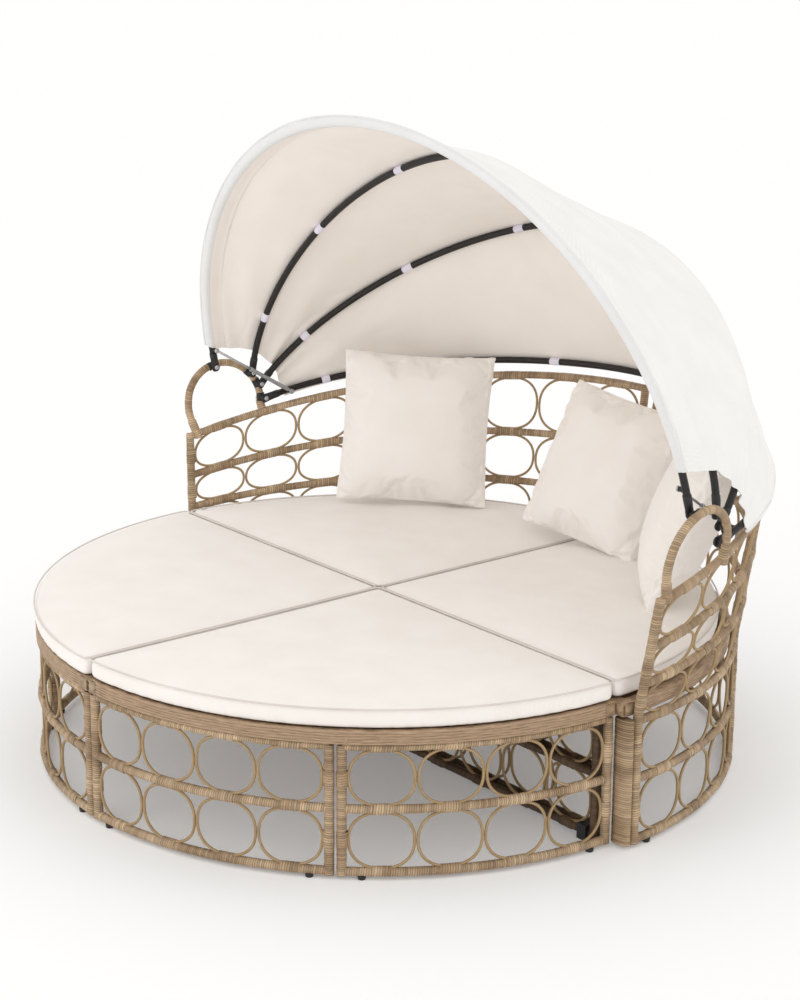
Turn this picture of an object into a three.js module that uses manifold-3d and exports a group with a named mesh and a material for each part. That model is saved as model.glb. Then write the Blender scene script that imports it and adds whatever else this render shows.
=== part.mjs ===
// A round outdoor daybed of four quarter modules with a folding canopy over its back half.
// The two front modules are ottomans that pull out along their own diagonals. The two back modules carry a
// leaning backrest that rises from the arms to the middle. Two arch handles on its ends hold four bows, three
// of which fold back onto the fourth, and a telescopic stay on each side holds the front bow up.
// Millimetres and degrees. +Z is up, the front is -Y, and the origin is on the floor under the middle of the
// whole object's box. The right-hand pieces are modelled, and the left-hand ones mirror them.
import * as THREE from "three";
import { mergeVertices } from "three/addons/utils/BufferGeometryUtils.js";
import Module from "manifold-3d";

const wasm = await Module();
wasm.setup();

// The seat.
const seatRadius = 900;
const seamGap = 5;
const clearance = 0.4;
const seatClearance = 0.3;
const overrun = 3;
const meshTolerance = 0.15;

// The wicker-wrapped rails, posts and rings.
const railRadius = 11;
const postRadius = 12;
const thinRailRadius = 9;
const strandRadius = 4.2;
const ringGap = 1;
const buriedDepth = 0.5;
const railSides = 6;
const postSides = 6;
const pinSides = 8;
const strandSides = 3;
const ringsPerPanel = 4;
const footPlace = 47;

// Heights of the base.
const footHeight = 8;
const footRadius = 9;
const midRailHeight = 176;
const deckUnderside = 337;
const deckHeight = 34;
const deckRimWidth = 30;
const plateThickness = 8;
const plateRecess = 6;
const slatWidth = 40;
const slatDepth = 16;
const postFitShare = 0.85;

// The backrest: its outer radius at the floor, each rail's height at the arms and in the middle, and its lean.
const backRadius = 945;
const backLean = 7.6;
const seatRailHeight = 324;
const lowRail = { arm: 414, middle: 484 };
const mainRail = { arm: 503, middle: 636 };
const topRail = { arm: 612, middle: 813 };
const armRise = 7;
const armHeight = topRail.arm + armRise;
const armPostLean = 22;
const middlePostSpread = 12;

// The side frames under the seat, along the seam between the front and back modules.
const sideRings = 5;
const clipLength = 30;
const clipHeight = 40;
const clipWall = 5;
const clipSetback = 27.6;

// The arch handles, which stand on a chord of the backrest and lean out with it.
const archTurn = 9.5;
const archLean = 10;
const archRadius = 118;
const archCentreRise = 40.3;
const archCentrePlace = 121;
const archFootPlace = 26;
const archTubeRadius = 11;
const pivotAngles = [107, 45, 24, 2];
const archSteps = 14;
const archSamples = 400;

// The canopy bows, front bow first: rise above the pivots, tilt back from upright, and the power of the outline,
// which is 2 for an ellipse and less for a bow whose shoulders fall away sooner.
const bowRise = [842, 743, 746, 693];
const bowTilt = [-13.4, 2.7, 42.1, 77.9];
const bowPower = [2, 1.64, 1.7, 1.84];
const bowTubeRadius = 9.5;
const bowSteps = 16;
const eyeRadius = 14;
const eyeThickness = 8;
const eyeReach = 26.3;
const eyeSegments = 4;
const bossRadius = 8;
const boltRadius = 4;
const boltHeadRadius = 7;
const boltHeadLength = 4.5;
const saddleLength = 24;
const saddleWall = 3;

// The telescopic stays.
const stayFrontReach = 57;
const stayRearReach = 76;
const stayInset = 24;
const stayBarrelRadius = 6;
const stayRodRadius = 3.5;
const stayBarrelShare = 0.56;
const stayOverlap = 12;
const stayEyeRadius = 8;
const stayEyeThickness = 6;
const stayPinRadius = 3;
const stayStudRadius = 6.5;
const stayPlay = 2;
const stayPinPlay = 0.6;
const stayNeckRadius = 2.8;

// The canopy cloth.
const clothThickness = 3;
const clothStart = 66;
const clothHem = 28;
const clothRearHem = 20;
const clothSag = 9;
const clothGapShare = 0.004;

// The seat cushions and the three loose cushions.
const cushionThickness = 52;
const cushionCrown = 14;
const cushionPull = 7;
const cushionGap = 2;
const frontCushionSetback = 1;
const backCushionSetback = 2;
const centreShare = 0.46;
const cornerShare = 0.035;
const straightCount = 8;
const arcCount = 12;
const looseDepth = 150;
const loosePinchShare = 0.055;
const looseSteps = 8;
const settleSteps = 12;
const settleReach = 60;

// Each row of a seat cushion's surface: shares of the inset, of its thickness and of its crown.
const cushionShares = [
  [0.02, 0, 0],
  [0.002, 0.06, 0],
  [0.012, 0.5, 0],
  [0, 0.97, 0],
  [0.016, 1, 0.15],
  [0.12, 1, 0.72],
];

// The loose cushions as they lie: side, the angle and the distance inside the seat's edge at which the middle
// is seen from above, and how each is turned, tilted and rolled.
const looseCushions = [
  { side: 455, angle: 133.72, setback: 111.4, yaw: 44, tilt: 16, roll: 0 },
  { side: 440, angle: 81.74, setback: 176.5, yaw: 3.5, tilt: 25.3, roll: -2.5 },
  { side: 440, angle: 45, setback: 108, yaw: -45, tilt: 22, roll: -8 },
];

const degree = Math.PI / 180;
const turn = 2 * Math.PI;
const frontLine = seatRadius - railRadius;
const backLine = backRadius - railRadius;
const deckTop = deckUnderside + deckHeight;
const leanStart = seatRailHeight + railRadius;
const leanSlope = Math.tan(backLean * degree);
const bottomRailHeight = footHeight + railRadius;
const thinRailRise = thinRailRadius * Math.cos(Math.PI / railSides);
const thinRailHeight = deckUnderside - seatClearance - thinRailRise;

const wicker = new THREE.MeshStandardMaterial({ color: 0x9c8262, roughness: 0.75, metalness: 0 });
const darkSteel = new THREE.MeshStandardMaterial({ color: 0x26221f, roughness: 0.45, metalness: 0.6 });
const blackPlastic = new THREE.MeshStandardMaterial({ color: 0x1b1b1c, roughness: 0.6, metalness: 0 });
const silverSteel = new THREE.MeshStandardMaterial({ color: 0xb9b9b8, roughness: 0.35, metalness: 0.9 });
const creamCloth = new THREE.MeshStandardMaterial({ color: 0xefe6dd, roughness: 0.9, metalness: 0 });
const canopyCloth = new THREE.MeshStandardMaterial({ color: 0xf1efec, roughness: 0.9, metalness: 0 });

const model = new THREE.Group();

// A closed mesh as a solid: only its places are kept, and its faces are turned outwards.
function solid(geometry) {
  const bare = geometry.clone();
  bare.deleteAttribute("normal");
  bare.deleteAttribute("uv");
  const merged = mergeVertices(bare);
  const triVerts = new Uint32Array(merged.index.array);
  const vertProperties = new Float32Array(merged.attributes.position.array);
  const made = () => new wasm.Manifold(new wasm.Mesh({ numProp: 3, vertProperties, triVerts }));
  const first = made();
  if (first.volume() > 0) return first;
  for (let i = 0; i < triVerts.length; i += 3) {
    [triVerts[i + 1], triVerts[i + 2]] = [triVerts[i + 2], triVerts[i + 1]];
  }
  return made();
}

function joined(pieces) {
  return pieces.reduce((sum, piece) => sum.add(piece)).asOriginal().simplify(meshTolerance);
}

// The main body of a cut piece, without the chips that a cut can leave.
function largest(piece) {
  const bodies = piece.decompose();
  return bodies.reduce((best, body) => (body.volume() > best.volume() ? body : best));
}

function geometryOf(piece) {
  const mesh = piece.getMesh();
  const geometry = new THREE.BufferGeometry();
  geometry.setAttribute("position", new THREE.BufferAttribute(new Float32Array(mesh.vertProperties), 3));
  geometry.setIndex(new THREE.BufferAttribute(new Uint32Array(mesh.triVerts), 1));
  geometry.computeVertexNormals();
  return geometry;
}

// The same solid on the other side of the X = 0 plane.
function mirrored(piece) {
  const geometry = geometryOf(piece);
  geometry.applyMatrix4(new THREE.Matrix4().makeScale(-1, 1, 1));
  return solid(geometry);
}

function addPiece(name, piece, material) {
  const mesh = new THREE.Mesh(geometryOf(piece), material.clone());
  mesh.name = name;
  model.add(mesh);
}

// Each right-hand piece and its mirror image, under the same name with its side.
function addPair(name, piece, material) {
  addPiece(name.replace("SIDE", "right"), piece, material);
  addPiece(name.replace("SIDE", "left"), mirrored(piece), material);
}

function polygon(radius, sides) {
  const points = [];
  for (let i = 0; i < sides; i += 1) {
    const angle = ((i + 0.5) * turn) / sides;
    points.push(new THREE.Vector2(radius * Math.cos(angle), radius * Math.sin(angle)));
  }
  return new THREE.Shape(points);
}

// A curve through places worked out by a function of its share from 0 to 1.
class Route extends THREE.Curve {
  constructor(place) {
    super();
    this.place = place;
  }

  getPoint(share, target = new THREE.Vector3()) {
    return target.copy(this.place(share));
  }
}

function tube(place, radius, steps, sides) {
  const settings = { steps, extrudePath: new Route(place), bevelEnabled: false };
  return solid(new THREE.ExtrudeGeometry(polygon(radius, sides), settings));
}

function straightTube(from, to, radius, sides) {
  return tube((share) => from.clone().lerp(to, share), radius, 1, sides);
}

// A closed strand of flat-sided lengths through the places of a function, mitred where they meet.
function loop(place, outward, stations, radius, sides) {
  const vertices = [];
  const faces = [];
  for (let i = 0; i < stations; i += 1) {
    const centre = place(i);
    const before = centre.clone().sub(place(i - 1)).normalize();
    const after = place(i + 1).sub(centre).normalize();
    const run = before.clone().add(after).normalize();
    const out = outward(i).projectOnPlane(run).normalize();
    const across = new THREE.Vector3().crossVectors(run, out).divideScalar(run.dot(after));
    for (let k = 0; k < sides; k += 1) {
      const angle = (k * turn) / sides;
      const spoke = out.clone().multiplyScalar(radius * Math.cos(angle));
      spoke.addScaledVector(across, radius * Math.sin(angle)).add(centre);
      vertices.push(spoke.x, spoke.y, spoke.z);
      const a = i * sides + k;
      const b = i * sides + ((k + 1) % sides);
      const c = ((i + 1) % stations) * sides + k;
      const d = ((i + 1) % stations) * sides + ((k + 1) % sides);
      faces.push(a, b, c, b, d, c);
    }
  }
  const geometry = new THREE.BufferGeometry();
  geometry.setAttribute("position", new THREE.BufferAttribute(new Float32Array(vertices), 3));
  geometry.setIndex(faces);
  return solid(geometry);
}

// The ring outline as shares of its half width and half height: two places lie in each rail that holds it.
const flatShare = 0.34;
const shoulderShare = 0.4;
const ringShares = [
  [-flatShare, 1],
  [flatShare, 1],
  [1, shoulderShare],
  [1, -shoulderShare],
  [flatShare, -1],
  [-flatShare, -1],
  [-1, -shoulderShare],
  [-1, shoulderShare],
];

function ringAt(mapping, outward) {
  const at = (i) => ringShares[(i + ringShares.length) % ringShares.length];
  const place = (i) => mapping(...at(i));
  const facing = (i) => outward(...at(i));
  return loop(place, facing, ringShares.length, strandRadius, strandSides);
}

// How far from a rail's centre line a strand's centre line can be and still lie wholly inside the rail.
function buried(size) {
  return size * Math.cos(Math.PI / railSides) - strandRadius - buriedDepth;
}

// The radius of a line of rails and posts at a height: upright below the seat, leaning out above it.
function radiusAt(line, height) {
  return line + Math.max(0, height - leanStart) * leanSlope;
}

function onLine(line, angle, height) {
  const radius = radiusAt(line, height);
  return new THREE.Vector3(radius * Math.cos(angle), radius * Math.sin(angle), height);
}

function level(height) {
  return () => height;
}

// A backrest rail rises from the arms to the middle with the sine of the angle from the seam at the arms.
function rising(rail) {
  return (angle) => rail.arm + (rail.middle - rail.arm) * Math.abs(Math.sin(angle));
}

// A rail's centre line in a panel, whose end posts stand off the seam lines by functions of the height.
function railPlace({ line, from, to, fromPost, toPost }, rail) {
  return (share) => {
    const height = rail(from * degree + share * (to - from) * degree);
    const start = from * degree + fromPost(height) / radiusAt(line, height);
    const end = to * degree - toPost(height) / radiusAt(line, height);
    const angle = start + share * (end - start);
    return onLine(line, angle, rail(angle));
  };
}

// The same place on the rail as it is built, in one straight length for each ring.
function straightened(place) {
  return (share) => {
    const cell = Math.min(ringsPerPanel - 1, Math.max(0, Math.floor(share * ringsPerPanel)));
    const low = place(cell / ringsPerPanel);
    return low.lerp(place((cell + 1) / ringsPerPanel), share * ringsPerPanel - cell);
  };
}

// An end post stands upright below the seat and leans out with the line above it.
function endPost(rails, spec, share, radius) {
  const top = railPlace(spec, rails[rails.length - 1])(share);
  const foot = railPlace(spec, level(bottomRailHeight))(share);
  const knee = railPlace(spec, level(leanStart))(share);
  foot.z -= railRadius;
  if (top.z < leanStart) return [straightTube(foot, new THREE.Vector3(foot.x, foot.y, top.z), radius, postSides)];
  const run = top.clone().sub(knee).normalize();
  const overlapped = knee.clone().addScaledVector(run, -postRadius / 2);
  const upper = straightTube(overlapped, top.clone().addScaledVector(run, railRadius / 2), radius, postSides);
  return [straightTube(foot, knee, radius, postSides), upper];
}

// One ring of a panel, flat between the two rails that hold it.
function panelRing(low, high, lowDepth, highDepth, cell) {
  const width = low(1).distanceTo(low(0));
  const room = 1 - (2 * postRadius) / width;
  const reach = 1 - (2 * (strandRadius + ringGap) * ringsPerPanel) / (width * room);
  const mapping = (across, up) => {
    const along = (cell + 0.5 + (across * reach) / 2) / ringsPerPanel;
    const share = 0.5 + (along - 0.5) * room;
    const bottom = low(share);
    const top = high(share);
    bottom.z += lowDepth;
    top.z -= highDepth;
    return bottom.lerp(top, (up + 1) / 2);
  };
  const run = mapping(1, 0).sub(mapping(-1, 0));
  const climb = mapping(0, 1).sub(mapping(0, -1));
  return ringAt(mapping, () => run.clone().cross(climb));
}

// A rail in as many straight lengths as there are rings, run from the panel's end on the diagonal.
function panelRail(spec, place, radius) {
  const run = (share) => place(spec.from % 90 ? share : 1 - share);
  return tube(run, radius, ringsPerPanel, railSides);
}

// A curved panel: rails across, a row of rings between each two of them, two end posts and two plug feet.
function panel(spec) {
  const { rails, railSize } = spec;
  const places = rails.map((rail) => railPlace(spec, rail));
  const pieces = places.map((place, i) => panelRail(spec, place, railSize[i]));
  pieces.push(...endPost(rails, spec, 0, postRadius), ...endPost(rails, spec, 1, postRadius));
  const lines = places.map(straightened);
  const depths = railSize.map(buried);
  for (let row = 0; row + 1 < rails.length; row += 1) {
    for (let cell = 0; cell < ringsPerPanel; cell += 1) {
      pieces.push(panelRing(lines[row], lines[row + 1], depths[row], depths[row + 1], cell));
    }
  }
  const footShare = footPlace / lines[0](0).distanceTo(lines[0](1));
  for (const share of [footShare, 1 - footShare]) {
    const under = lines[0](share);
    const foot = new THREE.CylinderGeometry(footRadius, footRadius, bottomRailHeight, railSides);
    foot.rotateX(90 * degree);
    foot.translate(under.x, under.y, bottomRailHeight / 2);
    pieces.push(solid(foot));
  }
  return joined(pieces);
}

const seamPost = () => seamGap / 2 + postRadius;

// Front panels: a from the front seam to the diagonal, b from the diagonal to the side seam.
const frontRails = [level(bottomRailHeight), level(midRailHeight), level(thinRailHeight)];
const frontSizes = [railRadius, railRadius, thinRailRadius];
const frontEnds = { fromPost: seamPost, toPost: seamPost };
const frontPanel = { line: frontLine, rails: frontRails, railSize: frontSizes, ...frontEnds };
addPair("front_SIDE_panel_a", panel({ ...frontPanel, from: -90, to: -45 }), wicker);
addPair("front_SIDE_panel_b", panel({ ...frontPanel, from: -45, to: 0 }), wicker);

// Back panels: a carries the arm, with a second short post wrapped to its own, and b ends at the back seam.
const backRails = [level(bottomRailHeight), level(midRailHeight), level(seatRailHeight)];
backRails.push(rising(lowRail), rising(mainRail), rising(topRail));
const topRailIndex = backRails.length - 1;
const backSizes = backRails.map(() => railRadius);
const armOffset = seamGap / 2 + 3 * postRadius;
const aboveSeat = (height) => Math.max(0, height - leanStart);
const armPost = (height) => armOffset + (armPostLean * aboveSeat(height)) / (armHeight - leanStart);
const middlePost = (height) => seamPost() + (middlePostSpread * aboveSeat(height)) / (topRail.middle - leanStart);
const backPanel = { line: backLine, rails: backRails, railSize: backSizes };
const armPanel = { ...backPanel, from: 0, to: 45, fromPost: armPost, toPost: seamPost };

// The arm post's foot: two posts wrapped together below the seat, as one rounded bar.
function doublePost() {
  const outline = new THREE.Shape();
  outline.absarc(0, postRadius, postRadius, 0, 180 * degree);
  outline.absarc(0, -postRadius, postRadius, 180 * degree, turn);
  const settings = { depth: seatRailHeight - footHeight, bevelEnabled: false, curveSegments: 4 };
  const bar = new THREE.ExtrudeGeometry(outline, settings);
  bar.translate(backLine, 0, footHeight);
  bar.rotateZ((seamGap / 2 + 2 * postRadius) / backLine);
  return solid(bar);
}

addPair("back_SIDE_panel_a", panel(armPanel).add(doublePost()), wicker);
const rearPanel = { ...backPanel, from: 45, to: 90, fromPost: seamPost, toPost: middlePost };
addPair("back_SIDE_panel_b", panel(rearPanel), wicker);

// A quarter of a disc as an outline, set back from both seams, with its arc in the quarter that starts at an angle.
function quarter(radius, inset, quarterStart, arcPoints) {
  const reach = Math.asin(inset / radius);
  const points = [];
  const corner = new THREE.Vector2(inset, inset);
  points.push(corner);
  for (let i = 0; i <= arcPoints; i += 1) {
    const angle = reach + ((90 * degree - 2 * reach) * i) / arcPoints;
    points.push(new THREE.Vector2(radius * Math.cos(angle), radius * Math.sin(angle)));
  }
  points.forEach((point) => point.rotateAround(new THREE.Vector2(), quarterStart * degree));
  return points;
}

function extruded(points, from, to, hole) {
  const shape = new THREE.Shape(points);
  if (hole) shape.holes.push(new THREE.Path(hole));
  const geometry = new THREE.ExtrudeGeometry(shape, { depth: to - from, bevelEnabled: false });
  geometry.translate(0, 0, from);
  return solid(geometry);
}

// A deck: a rim wound with wicker along its length, a woven plate let into it, and two slats under the plate.
const arcPoints = 2 * ringsPerPanel;
function deck(radius, quarterStart) {
  const inset = seamGap / 2;
  const outline = quarter(radius, inset, quarterStart, arcPoints);
  const inner = quarter(radius - deckRimWidth, inset + deckRimWidth, quarterStart, arcPoints);
  const plate = quarter(radius - deckRimWidth + overrun, inset + deckRimWidth - overrun, quarterStart, arcPoints);
  const plateTop = deckTop - plateRecess;
  const pieces = [extruded(outline, deckUnderside, deckTop, inner)];
  pieces.push(extruded(plate, plateTop - plateThickness, plateTop));
  for (const share of [1 / 3, 2 / 3]) {
    const along = share * radius;
    const depth = slatDepth + overrun;
    const end = Math.sqrt(radius ** 2 - along ** 2) - deckRimWidth / 2;
    const length = end - deckRimWidth / 2;
    const slat = new THREE.BoxGeometry(slatWidth, length, depth);
    slat.translate(along, deckRimWidth / 2 + length / 2, plateTop - plateThickness + overrun - depth / 2);
    slat.rotateZ(quarterStart * degree);
    pieces.push(solid(slat));
  }
  return joined(pieces);
}

// The back decks lie inside the panels, and are cut to fit against their posts.
const backDeckRadius = backLine - postRadius * postFitShare;
const fittedPosts = [armPanel, rearPanel].flatMap((spec) => {
  return [0, 1].flatMap((share) => endPost(backRails, spec, share, postRadius + seatClearance));
});
addPair("front_SIDE_deck", deck(seatRadius, -90), wicker);
addPair("back_SIDE_deck", largest(deck(backDeckRadius, 0).subtract(joined(fittedPosts))), wicker);

// A side frame: upright posts at both ends, three straight rails and two rows of rings, in the plane beside a seam.
// The frames of the front and back modules face each other, so both end at the front panels' line.
const sideFrameOuter = frontLine - 2 * postRadius - clearance - railRadius;
function sideFrame(side) {
  const planeY = side * (seamGap / 2 + postRadius);
  const outer = sideFrameOuter;
  const inner = seamGap / 2 + postRadius;
  const heights = [bottomRailHeight, midRailHeight, thinRailHeight];
  const sizes = [railRadius, railRadius, thinRailRadius];
  const at = (x, z) => new THREE.Vector3(x, planeY, z);
  const pieces = heights.map((z, i) => straightTube(at(inner, z), at(outer, z), sizes[i], railSides));
  for (const x of [inner, outer]) {
    pieces.push(straightTube(at(x, 0), at(x, thinRailHeight + thinRailRadius / 2), postRadius, postSides));
  }
  const room = outer - inner - 2 * postRadius;
  const pitch = room / sideRings;
  for (let row = 0; row + 1 < heights.length; row += 1) {
    const low = heights[row] + buried(sizes[row]);
    const high = heights[row + 1] - buried(sizes[row + 1]);
    for (let cell = 0; cell < sideRings; cell += 1) {
      const middle = inner + postRadius + (cell + 0.5) * pitch;
      const halfWidth = pitch / 2 - strandRadius - ringGap;
      const mapping = (across, up) => at(middle + across * halfWidth, (low + high) / 2 + (up * (high - low)) / 2);
      pieces.push(ringAt(mapping, () => new THREE.Vector3(0, side, 0)));
    }
  }
  return joined(pieces);
}

const frontSide = sideFrame(-1);
const backSide = sideFrame(1);
addPair("front_SIDE_side_frame", frontSide, wicker);
addPair("back_SIDE_side_frame", backSide, wicker);

// A plastic clip that hooks over the bottom rail of a side frame, just off the floor and face to face with the
// clip of the next module.
function moduleClip(side) {
  const planeY = side * seamPost();
  const clipPlace = sideFrameOuter - clipSetback;
  const depth = 2 * (railRadius + clipWall);
  const body = new THREE.BoxGeometry(clipLength, depth, clipHeight);
  const outerFace = side * (clearance + depth / 2);
  body.translate(clipPlace, outerFace, clipHeight / 2 + clearance);
  const from = new THREE.Vector3(clipPlace - clipLength, planeY, bottomRailHeight);
  const to = new THREE.Vector3(clipPlace + clipLength, planeY, bottomRailHeight);
  const rail = straightTube(from, to, railRadius + clearance, railSides);
  const slot = new THREE.BoxGeometry(2 * clipLength, 2 * railRadius + clearance, bottomRailHeight);
  slot.translate(clipPlace, planeY, 0);
  return solid(body).subtract(rail).subtract(solid(slot));
}

addPair("front_SIDE_clip", moduleClip(-1), blackPlastic);
addPair("back_SIDE_clip", moduleClip(1), blackPlastic);

// The arch handle stands on a chord from the top of the arm post, and leans out over it.
const armTop = onLine(backLine, armPost(armHeight) / radiusAt(backLine, armHeight), armHeight);
const chord = new THREE.Vector3(-Math.sin(archTurn * degree), Math.cos(archTurn * degree), 0);
const sideways = new THREE.Vector3(Math.cos(archTurn * degree), Math.sin(archTurn * degree), 0);
const rise = new THREE.Vector3(0, 0, Math.cos(archLean * degree));
rise.addScaledVector(sideways, Math.sin(archLean * degree));

// The arch clears the top rail where it comes down behind, so its height follows the rail's rise there.
const archHeelBase = armTop.clone().addScaledVector(chord, archCentrePlace + archRadius);
const archHeelAngle = Math.atan2(archHeelBase.y, archHeelBase.x);
const archCentreHeight = rising(topRail)(archHeelAngle) - armHeight + archCentreRise;

function archPlace(along, up) {
  return armTop.clone().addScaledVector(chord, along).addScaledVector(rise, up);
}

function archAt(angle) {
  const along = archCentrePlace + archRadius * Math.cos(angle);
  return archPlace(along, archCentreHeight + archRadius * Math.sin(angle));
}

// The arch's centre line: up from the rail by the arm post, round over, and down onto the rail behind.
const archFoot = archPlace(archFootPlace, 0);
const archHeel = archPlace(archCentrePlace + archRadius + archTubeRadius / 2, archCentreHeight / 2);
const archRound = [180, 156, 132, 108, 84, 60, 36, 12, -8].map((angle) => archAt(angle * degree));
const archLine = new THREE.CatmullRomCurve3([archFoot, ...archRound, archHeel]);

function archTube(radius) {
  return tube((share) => archLine.getPoint(share), radius, archSteps, postSides);
}

const railCutter = [panelRail(armPanel, railPlace(armPanel, backRails[topRailIndex]), railRadius + seatClearance)];
railCutter.push(...endPost(backRails, armPanel, 0, postRadius + seatClearance));
const arch = largest(archTube(archTubeRadius).subtract(joined(railCutter)));
addPair("SIDE_arch", arch, wicker);

// The place on the arch where a bow is pivoted, and the bow's own pivot, which is further in.
function bowMount(index) {
  return archAt(pivotAngles[index] * degree);
}

function bowPivot(index) {
  return bowMount(index).sub(new THREE.Vector3(eyeReach, 0, 0));
}

function pin(from, to, radius) {
  return straightTube(from, to, radius, pinSides);
}

// A place at a distance inwards from another along X.
function inward(place, distance) {
  return new THREE.Vector3(place.x - distance, place.y, place.z);
}

// A saddle: a sleeve round the arch, and a boss that carries the pivot bolt.
const nearestShares = pivotAngles.map((angle) => {
  const target = archAt(angle * degree);
  const shares = [...Array(archSamples).keys()].map((i) => i / archSamples);
  return shares.reduce((best, share) => {
    const better = archLine.getPoint(share).distanceTo(target) < archLine.getPoint(best).distanceTo(target);
    return better ? share : best;
  }, 0);
});

function saddle(index) {
  const mount = bowMount(index);
  const run = archLine.getTangent(nearestShares[index]);
  const from = mount.clone().addScaledVector(run, -saddleLength / 2);
  const to = mount.clone().addScaledVector(run, saddleLength / 2);
  const sleeve = straightTube(from, to, archTubeRadius + clearance + saddleWall, postSides);
  const bossEnd = eyeReach - eyeThickness / 2 - clearance;
  const boss = pin(mount, inward(mount, bossEnd), bossRadius);
  const boreStart = archTubeRadius + clearance + saddleWall / 2;
  const bore = pin(inward(mount, boreStart), inward(mount, bossEnd + overrun), boltRadius + clearance);
  const cutter = joined([archTube(archTubeRadius + clearance), bore]);
  return joined([sleeve, boss]).subtract(cutter).asOriginal().simplify(meshTolerance);
}

// A pivot bolt with its low round head, through the bow's eye and into the boss.
function pivotBolt(index) {
  const mount = bowMount(index);
  const shankStart = archTubeRadius + 2 * clearance + saddleWall / 2;
  const headStart = eyeReach + eyeThickness / 2 + clearance;
  const headEnd = headStart + boltHeadLength;
  const shank = pin(inward(mount, shankStart), inward(mount, headEnd - boltHeadLength / 2), boltRadius);
  return shank.add(pin(inward(mount, headStart), inward(mount, headEnd), boltHeadRadius));
}

bowRise.forEach((unused, index) => {
  addPair(`SIDE_saddle_${index + 1}`, saddle(index), blackPlastic);
  addPair(`SIDE_pivot_bolt_${index + 1}`, pivotBolt(index), silverSteel);
});

// A bow is half a powered ellipse between its pivots, as wide as they are and as tall as its rise.
function bowPlace(index, angle) {
  const pivot = bowPivot(index);
  const tilt = bowTilt[index] * degree;
  const power = 2 / bowPower[index];
  const across = Math.sign(Math.cos(angle)) * Math.abs(Math.cos(angle)) ** power;
  const reach = bowRise[index] * Math.max(0, Math.sin(angle)) ** power;
  const lean = new THREE.Vector3(0, reach * Math.sin(tilt), reach * Math.cos(tilt));
  return new THREE.Vector3(pivot.x * across, pivot.y, pivot.z).add(lean);
}

// The angle at which a bow has come a given distance from its pivot line.
function bowAngle(index, reach) {
  return Math.asin((reach / bowRise[index]) ** (bowPower[index] / 2));
}

// A flat eye across X with a hole for a pin.
function eye(centre, radius, thickness, holeRadius) {
  const outline = new THREE.Shape();
  outline.absarc(0, 0, radius, 0, turn);
  const hole = new THREE.Path();
  hole.absarc(0, 0, holeRadius, 0, turn);
  outline.holes.push(hole);
  const settings = { depth: thickness, bevelEnabled: false, curveSegments: eyeSegments };
  const geometry = new THREE.ExtrudeGeometry(outline, settings);
  geometry.translate(0, 0, -thickness / 2);
  geometry.rotateY(90 * degree);
  geometry.translate(centre.x, centre.y, centre.z);
  return solid(geometry);
}

// The stays' pins stand on the first and last bows, at their reaches from the pivots and in from the tube.
const lastBow = bowRise.length - 1;
const stayFront = inward(bowPlace(0, bowAngle(0, stayFrontReach)), stayInset);
const stayRear = inward(bowPlace(lastBow, bowAngle(lastBow, stayRearReach)), stayInset);
const stayRun = stayRear.clone().sub(stayFront).normalize();
const stayLength = stayRear.distanceTo(stayFront);
const stayBarrelLength = stayBarrelShare * stayLength;

function bowRun(index) {
  const skip = bowAngle(index, boltHeadRadius + 2 * overrun);
  return (share) => bowPlace(index, skip + share * (180 * degree - 2 * skip));
}

function bow(index) {
  const pivot = bowPivot(index);
  const pieces = [tube(bowRun(index), bowTubeRadius, bowSteps, railSides)];
  const ends = [eye(pivot, eyeRadius, eyeThickness, boltRadius + clearance)];
  const studEnd = stayEyeThickness / 2;
  if (index === 0) {
    ends.push(pin(inward(stayFront, -stayInset), inward(stayFront, studEnd + overrun), stayPinRadius));
    const collar = inward(stayFront, -studEnd - stayPlay);
    ends.push(pin(inward(stayFront, -stayInset), collar, stayStudRadius));
  }
  if (index === lastBow) {
    const stud = inward(stayRear, -studEnd - stayPlay);
    ends.push(pin(inward(stayRear, -stayInset), stud, stayStudRadius));
  }
  for (const end of ends) pieces.push(end, mirrored(end));
  return joined(pieces);
}

bowRise.forEach((unused, index) => addPiece(`bow_${index + 1}`, bow(index), darkSteel));

// The stay's rod turns on the first bow's pin, and slides in a barrel whose eye rests beside the last bow's stud.
function stayAt(distance) {
  return stayFront.clone().addScaledVector(stayRun, distance);
}

const barrelMouth = stayLength - stayBarrelLength;
const rodTip = barrelMouth + stayOverlap;
const rodStart = stayAt(stayEyeRadius - clearance);
const rodEye = eye(stayFront, stayEyeRadius, stayEyeThickness, stayPinRadius + stayPinPlay);
const stayRod = rodEye.add(straightTube(rodStart, stayAt(rodTip), stayRodRadius, pinSides));
addPair("SIDE_stay_rod", stayRod, silverSteel);

const barrelEnd = stayLength - stayEyeRadius - overrun;
const barrelBody = straightTube(stayAt(barrelMouth), stayAt(barrelEnd), stayBarrelRadius, pinSides);
const barrelNeck = straightTube(stayAt(barrelEnd - overrun), stayAt(stayLength), stayNeckRadius, pinSides);
const boreEnd = stayAt(barrelEnd - stayBarrelRadius);
const barrelBore = straightTube(stayAt(barrelMouth - overrun), boreEnd, stayRodRadius + clearance, pinSides);
const barrelPin = pin(inward(stayRear, stayEyeThickness / -2), inward(stayRear, stayEyeThickness / 2), stayEyeRadius);
addPair("SIDE_stay_barrel", joined([barrelBody.subtract(barrelBore), barrelNeck, barrelPin]), silverSteel);

// A surface through rows of places, closed round each row and to one place at both ends.
function closedRows(rows, firstPlace, lastPlace) {
  const count = rows[0].length;
  const places = [firstPlace, ...rows.flat(), lastPlace];
  const last = places.length - 1;
  const faces = [];
  for (let k = 0; k < count; k += 1) {
    const next = (k + 1) % count;
    faces.push(0, 1 + next, 1 + k);
    for (let row = 0; row + 1 < rows.length; row += 1) {
      const near = 1 + row * count;
      const far = near + count;
      faces.push(near + k, near + next, far + k, near + next, far + next, far + k);
    }
    faces.push(last, last - count + k, last - count + next);
  }
  return solidFrom(places, faces);
}

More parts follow.
